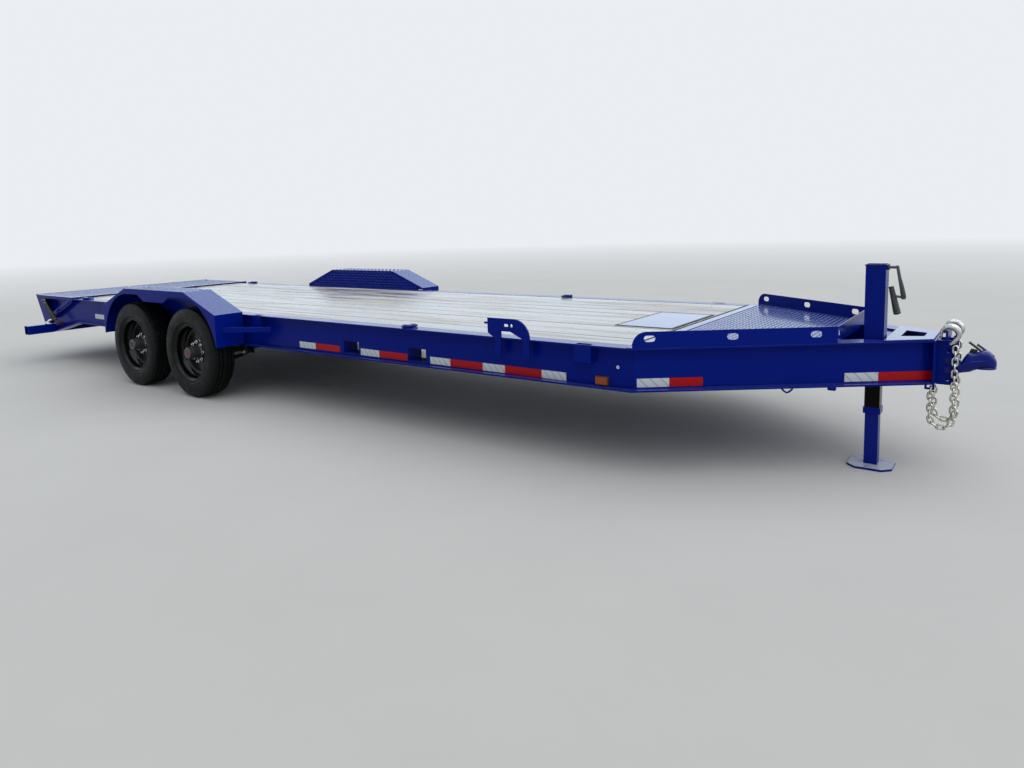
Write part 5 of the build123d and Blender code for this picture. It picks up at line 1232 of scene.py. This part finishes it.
class TRAILER_OT_tread(TrailerOperator, bpy.types.Operator):
    """Roll the raised bars of the tread plate on the tray, the ramps and the fenders"""

    bl_idname = "trailer.tread"
    bl_label = "Tread Bars"

    def build(self, sizes):
        def cover(shapes, place, half_u, half_v, wanted=None):
            """Covers a patch of the place's plane with low bars, turned by turns."""
            columns, rows = int(2 * half_u / sizes.bar_pitch), int(2 * half_v / sizes.bar_pitch)
            for i in range(columns + 1):
                for k in range(rows + 1):
                    u = (i - columns / 2) * sizes.bar_pitch
                    v = (k - rows / 2) * sizes.bar_pitch
                    if wanted and not wanted(u, v):
                        continue
                    turn = pi / 4 if (i + k) % 2 else -pi / 4
                    rings = []
                    for share, height in ((1.0, -0.0003), (0.62, 0.0015)):
                        ring = []
                        for long_share, wide_share in ((1, 0), (0, 1), (-1, 0), (0, -1)):
                            along = share * long_share * sizes.bar_length / 2
                            aside = share * wide_share * sizes.bar_width / 2
                            bar_u = u + along * cos(turn) - aside * sin(turn)
                            bar_v = v + along * sin(turn) + aside * cos(turn)
                            ring.append(shapes.verts.new(place @ Vector((bar_u, bar_v, height))))
                        rings.append(ring)
                    foot, top = rings
                    shapes.faces.new(foot[::-1])
                    shapes.faces.new(top)
                    for m in range(4):
                        n = (m + 1) % 4
                        shapes.faces.new((foot[m], foot[n], top[n], top[m]))

        bars = bmesh.new()
        tray_middle = 3.415
        cover(
            bars, facing((tray_middle, 0, TRAY_Z), (0, 0, 1), (0, 1, 0)), 0.375, 0.95,
            lambda u, v: abs(v) < -neck_place(tray_middle + u, 0).y - 0.035,
        )
        make_piece("tray_tread_bars", bars, "bars")
        for side, name in ((-1, "ramp_right"), (1, "ramp_left")):
            (x0, y0, _), (x1, y1, _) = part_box(name)
            bars = bmesh.new()
            place = facing(((x0 + x1) / 2, side * 0.53, 0.712), (0, 0, 1), (0, 1, 0))
            cover(bars, place, (x1 - x0) / 2 - 0.045, 0.485)
            make_piece(name + "_tread_bars", bars, "bars", body=name)
        bars = bmesh.new()
        top_half, half, rise = 0.489, 0.927, 0.169
        (_, y0, _), (_, y1, top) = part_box("fender_right")
        middle, reach = (y0 + y1) / 2, (y1 - y0) / 2 - 0.018
        cover(bars, facing((AXLES_X, middle, top), (0, 0, 1), (0, 1, 0)), top_half - 0.022, reach)
        slope = hypot(half - top_half, rise)
        for way in (-1, 1):
            place = facing(
                (AXLES_X + way * (top_half + half) / 2, middle, top - rise / 2),
                (way * rise, 0, half - top_half),
                (0, 1, 0),
            )
            cover(bars, place, slope / 2 - 0.022, reach)
        cover(
            bars, facing((AXLES_X, y1, top - 0.095), (0, 1, 0)), half - 0.06, 0.078,
            lambda u, v: abs(u) < half - 0.03 - (half - top_half) * (v + 0.095) / rise,
        )
        both_sides(bars)
        make_piece("fender_tread_bars", bars, "bars")


class TRAILER_OT_stage(TrailerOperator, bpy.types.Operator):
    """Set the pale floor, the soft lights and the camera"""

    bl_idname = "trailer.stage"
    bl_label = "Stage"

    def build(self, sizes):
        scene = bpy.context.scene
        bpy.ops.mesh.primitive_circle_add(vertices=96, radius=60, fill_type="NGON", location=(0, 0, 0))
        floor = bpy.context.object
        floor.name = "floor"
        paving, tree, shader, where = start_finish(
            "concrete_floor_painted", list(scene.trailer_colours.floor), Roughness=0.85
        )
        floor.data.materials.append(paving)
        # The floor fades into the backdrop between 10 and 36 m, so that no horizon shows
        backdrop = (0.9, 0.93, 0.97, 1)
        blotch = add_node(tree, NOISE, {"Vector": where, "Scale": 0.9, "Detail": 5.0, "Roughness": 0.6})
        colour = list(scene.trailer_colours.floor)
        share = add_node(tree, RANGE, {"Value": blotch, "From Min": 0.35, "From Max": 0.7, "To Max": 0.22})
        shade = add_node(tree, MIX, {0: share, 6: (*colour, 1), 7: (*[c * 0.82 for c in colour], 1)}, **RGBA)
        set_inputs(tree, shader, {"Base Color": shade})
        away = add_node(tree, "ShaderNodeVectorMath", {0: where}, out="Value", operation="LENGTH")
        far = add_node(tree, RANGE, {"Value": away, "From Min": 10.0, "From Max": 36.0})
        glow = add_node(tree, "ShaderNodeEmission", {"Color": backdrop, "Strength": 0.92})
        faded = add_node(tree, "ShaderNodeMixShader", {0: far, 1: shader.outputs[0], 2: glow})
        set_inputs(tree, tree.nodes["Material Output"], {"Surface": faded})
        world = bpy.data.worlds.new("soft_sky")
        scene.world = world
        world.use_nodes = True
        tree = world.node_tree
        for old in list(tree.nodes):
            tree.nodes.remove(old)
        path = add_node(tree, "ShaderNodeLightPath", out=None).outputs
        seen = add_node(
            tree, MATH, {0: path["Is Camera Ray"], 1: path["Is Transmission Ray"]}, operation="MAXIMUM"
        )
        mirrored = add_node(tree, "ShaderNodeBackground", {"Color": (0.78, 0.88, 1.0, 1), "Strength": 1.08})
        light = add_node(tree, "ShaderNodeBackground", {"Color": (0.88, 0.94, 1.0, 1), "Strength": 0.33})
        shown = add_node(tree, "ShaderNodeBackground", {"Color": backdrop, "Strength": 0.92})
        chosen = add_node(tree, "ShaderNodeMixShader", {0: path["Is Glossy Ray"], 1: light, 2: mirrored})
        chosen = add_node(tree, "ShaderNodeMixShader", {0: seen, 1: chosen, 2: shown})
        add_node(tree, "ShaderNodeOutputWorld", {"Surface": chosen}, out=None)
        sky = bpy.data.lights.new("overcast_overhead", "SUN")
        sky.energy = 2.3
        sky.angle = radians(110)
        holder = bpy.data.objects.new("overcast_overhead", sky)
        scene.collection.objects.link(holder)
        holder.rotation_euler = (radians(-4), radians(22), 0)
        yaw, pitch, roll = radians(126.41), radians(-7.04), radians(-1.72)
        ahead = Vector((cos(yaw) * cos(pitch), sin(yaw) * cos(pitch), sin(pitch)))
        right = Vector((sin(yaw), -cos(yaw), 0))
        up = right.cross(ahead)
        across = right * cos(roll) + up * sin(roll)
        upward = right * -sin(roll) + up * cos(roll)
        lens = bpy.data.cameras.new("camera")
        sensor_mm, focal_pixels, picture_pixels = 36, 709.53, 1024
        lens.sensor_width = sensor_mm
        lens.lens = sensor_mm * focal_pixels / picture_pixels
        lens.shift_x = -0.0003
        lens.shift_y = -0.0722
        camera = bpy.data.objects.new("camera", lens)
        scene.collection.objects.link(camera)
        camera.matrix_world = Matrix((
            (across.x, upward.x, -ahead.x, 4.65), (across.y, upward.y, -ahead.y, -4.3284),
            (across.z, upward.z, -ahead.z, 1.3663), (0, 0, 0, 1),
        ))
        scene.camera = camera
        scene.view_settings.view_transform = "Standard"


class TRAILER_PT_panel(bpy.types.Panel):
    """Lists the trailer's pieces, sizes and colours."""

    bl_idname = "TRAILER_PT_panel"
    bl_label = "Equipment Trailer"
    bl_space_type = "VIEW_3D"
    bl_region_type = "UI"
    bl_category = "Trailer"

    def draw(self, context):
        for operator in OPERATORS:
            self.layout.operator(operator.bl_idname)
        for group in (context.scene.trailer_sizes, context.scene.trailer_colours):
            for name in group.__annotations__:
                self.layout.prop(group, name)


OPERATORS = (
    TRAILER_OT_stage,
    TRAILER_OT_frame_finishes,
    TRAILER_OT_deck,
    TRAILER_OT_tape,
    TRAILER_OT_tyres,
    TRAILER_OT_wheels,
    TRAILER_OT_chains,
    TRAILER_OT_hooks,
    TRAILER_OT_coupler,
    TRAILER_OT_crank,
    TRAILER_OT_ramp_springs,
    TRAILER_OT_lamps,
    TRAILER_OT_running_gear,
    TRAILER_OT_neck_fittings,
    TRAILER_OT_tread,
    TRAILER_OT_bolts,
    TRAILER_OT_welds,
)
CLASSES = (TrailerSizes, TrailerColours, *OPERATORS, TRAILER_PT_panel)


def register():
    for cls in CLASSES:
        bpy.utils.register_class(cls)
    bpy.types.Scene.trailer_sizes = PointerProperty(type=TrailerSizes)
    bpy.types.Scene.trailer_colours = PointerProperty(type=TrailerColours)


def unregister():
    del bpy.types.Scene.trailer_colours
    del bpy.types.Scene.trailer_sizes
    for cls in reversed(CLASSES):
        bpy.utils.unregister_class(cls)


def main():
    """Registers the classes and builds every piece."""
    register()
    for operator in OPERATORS:
        group, call = operator.bl_idname.split(".")
        getattr(getattr(bpy.ops, group), call)()


if __name__ == "__main__":
    main()
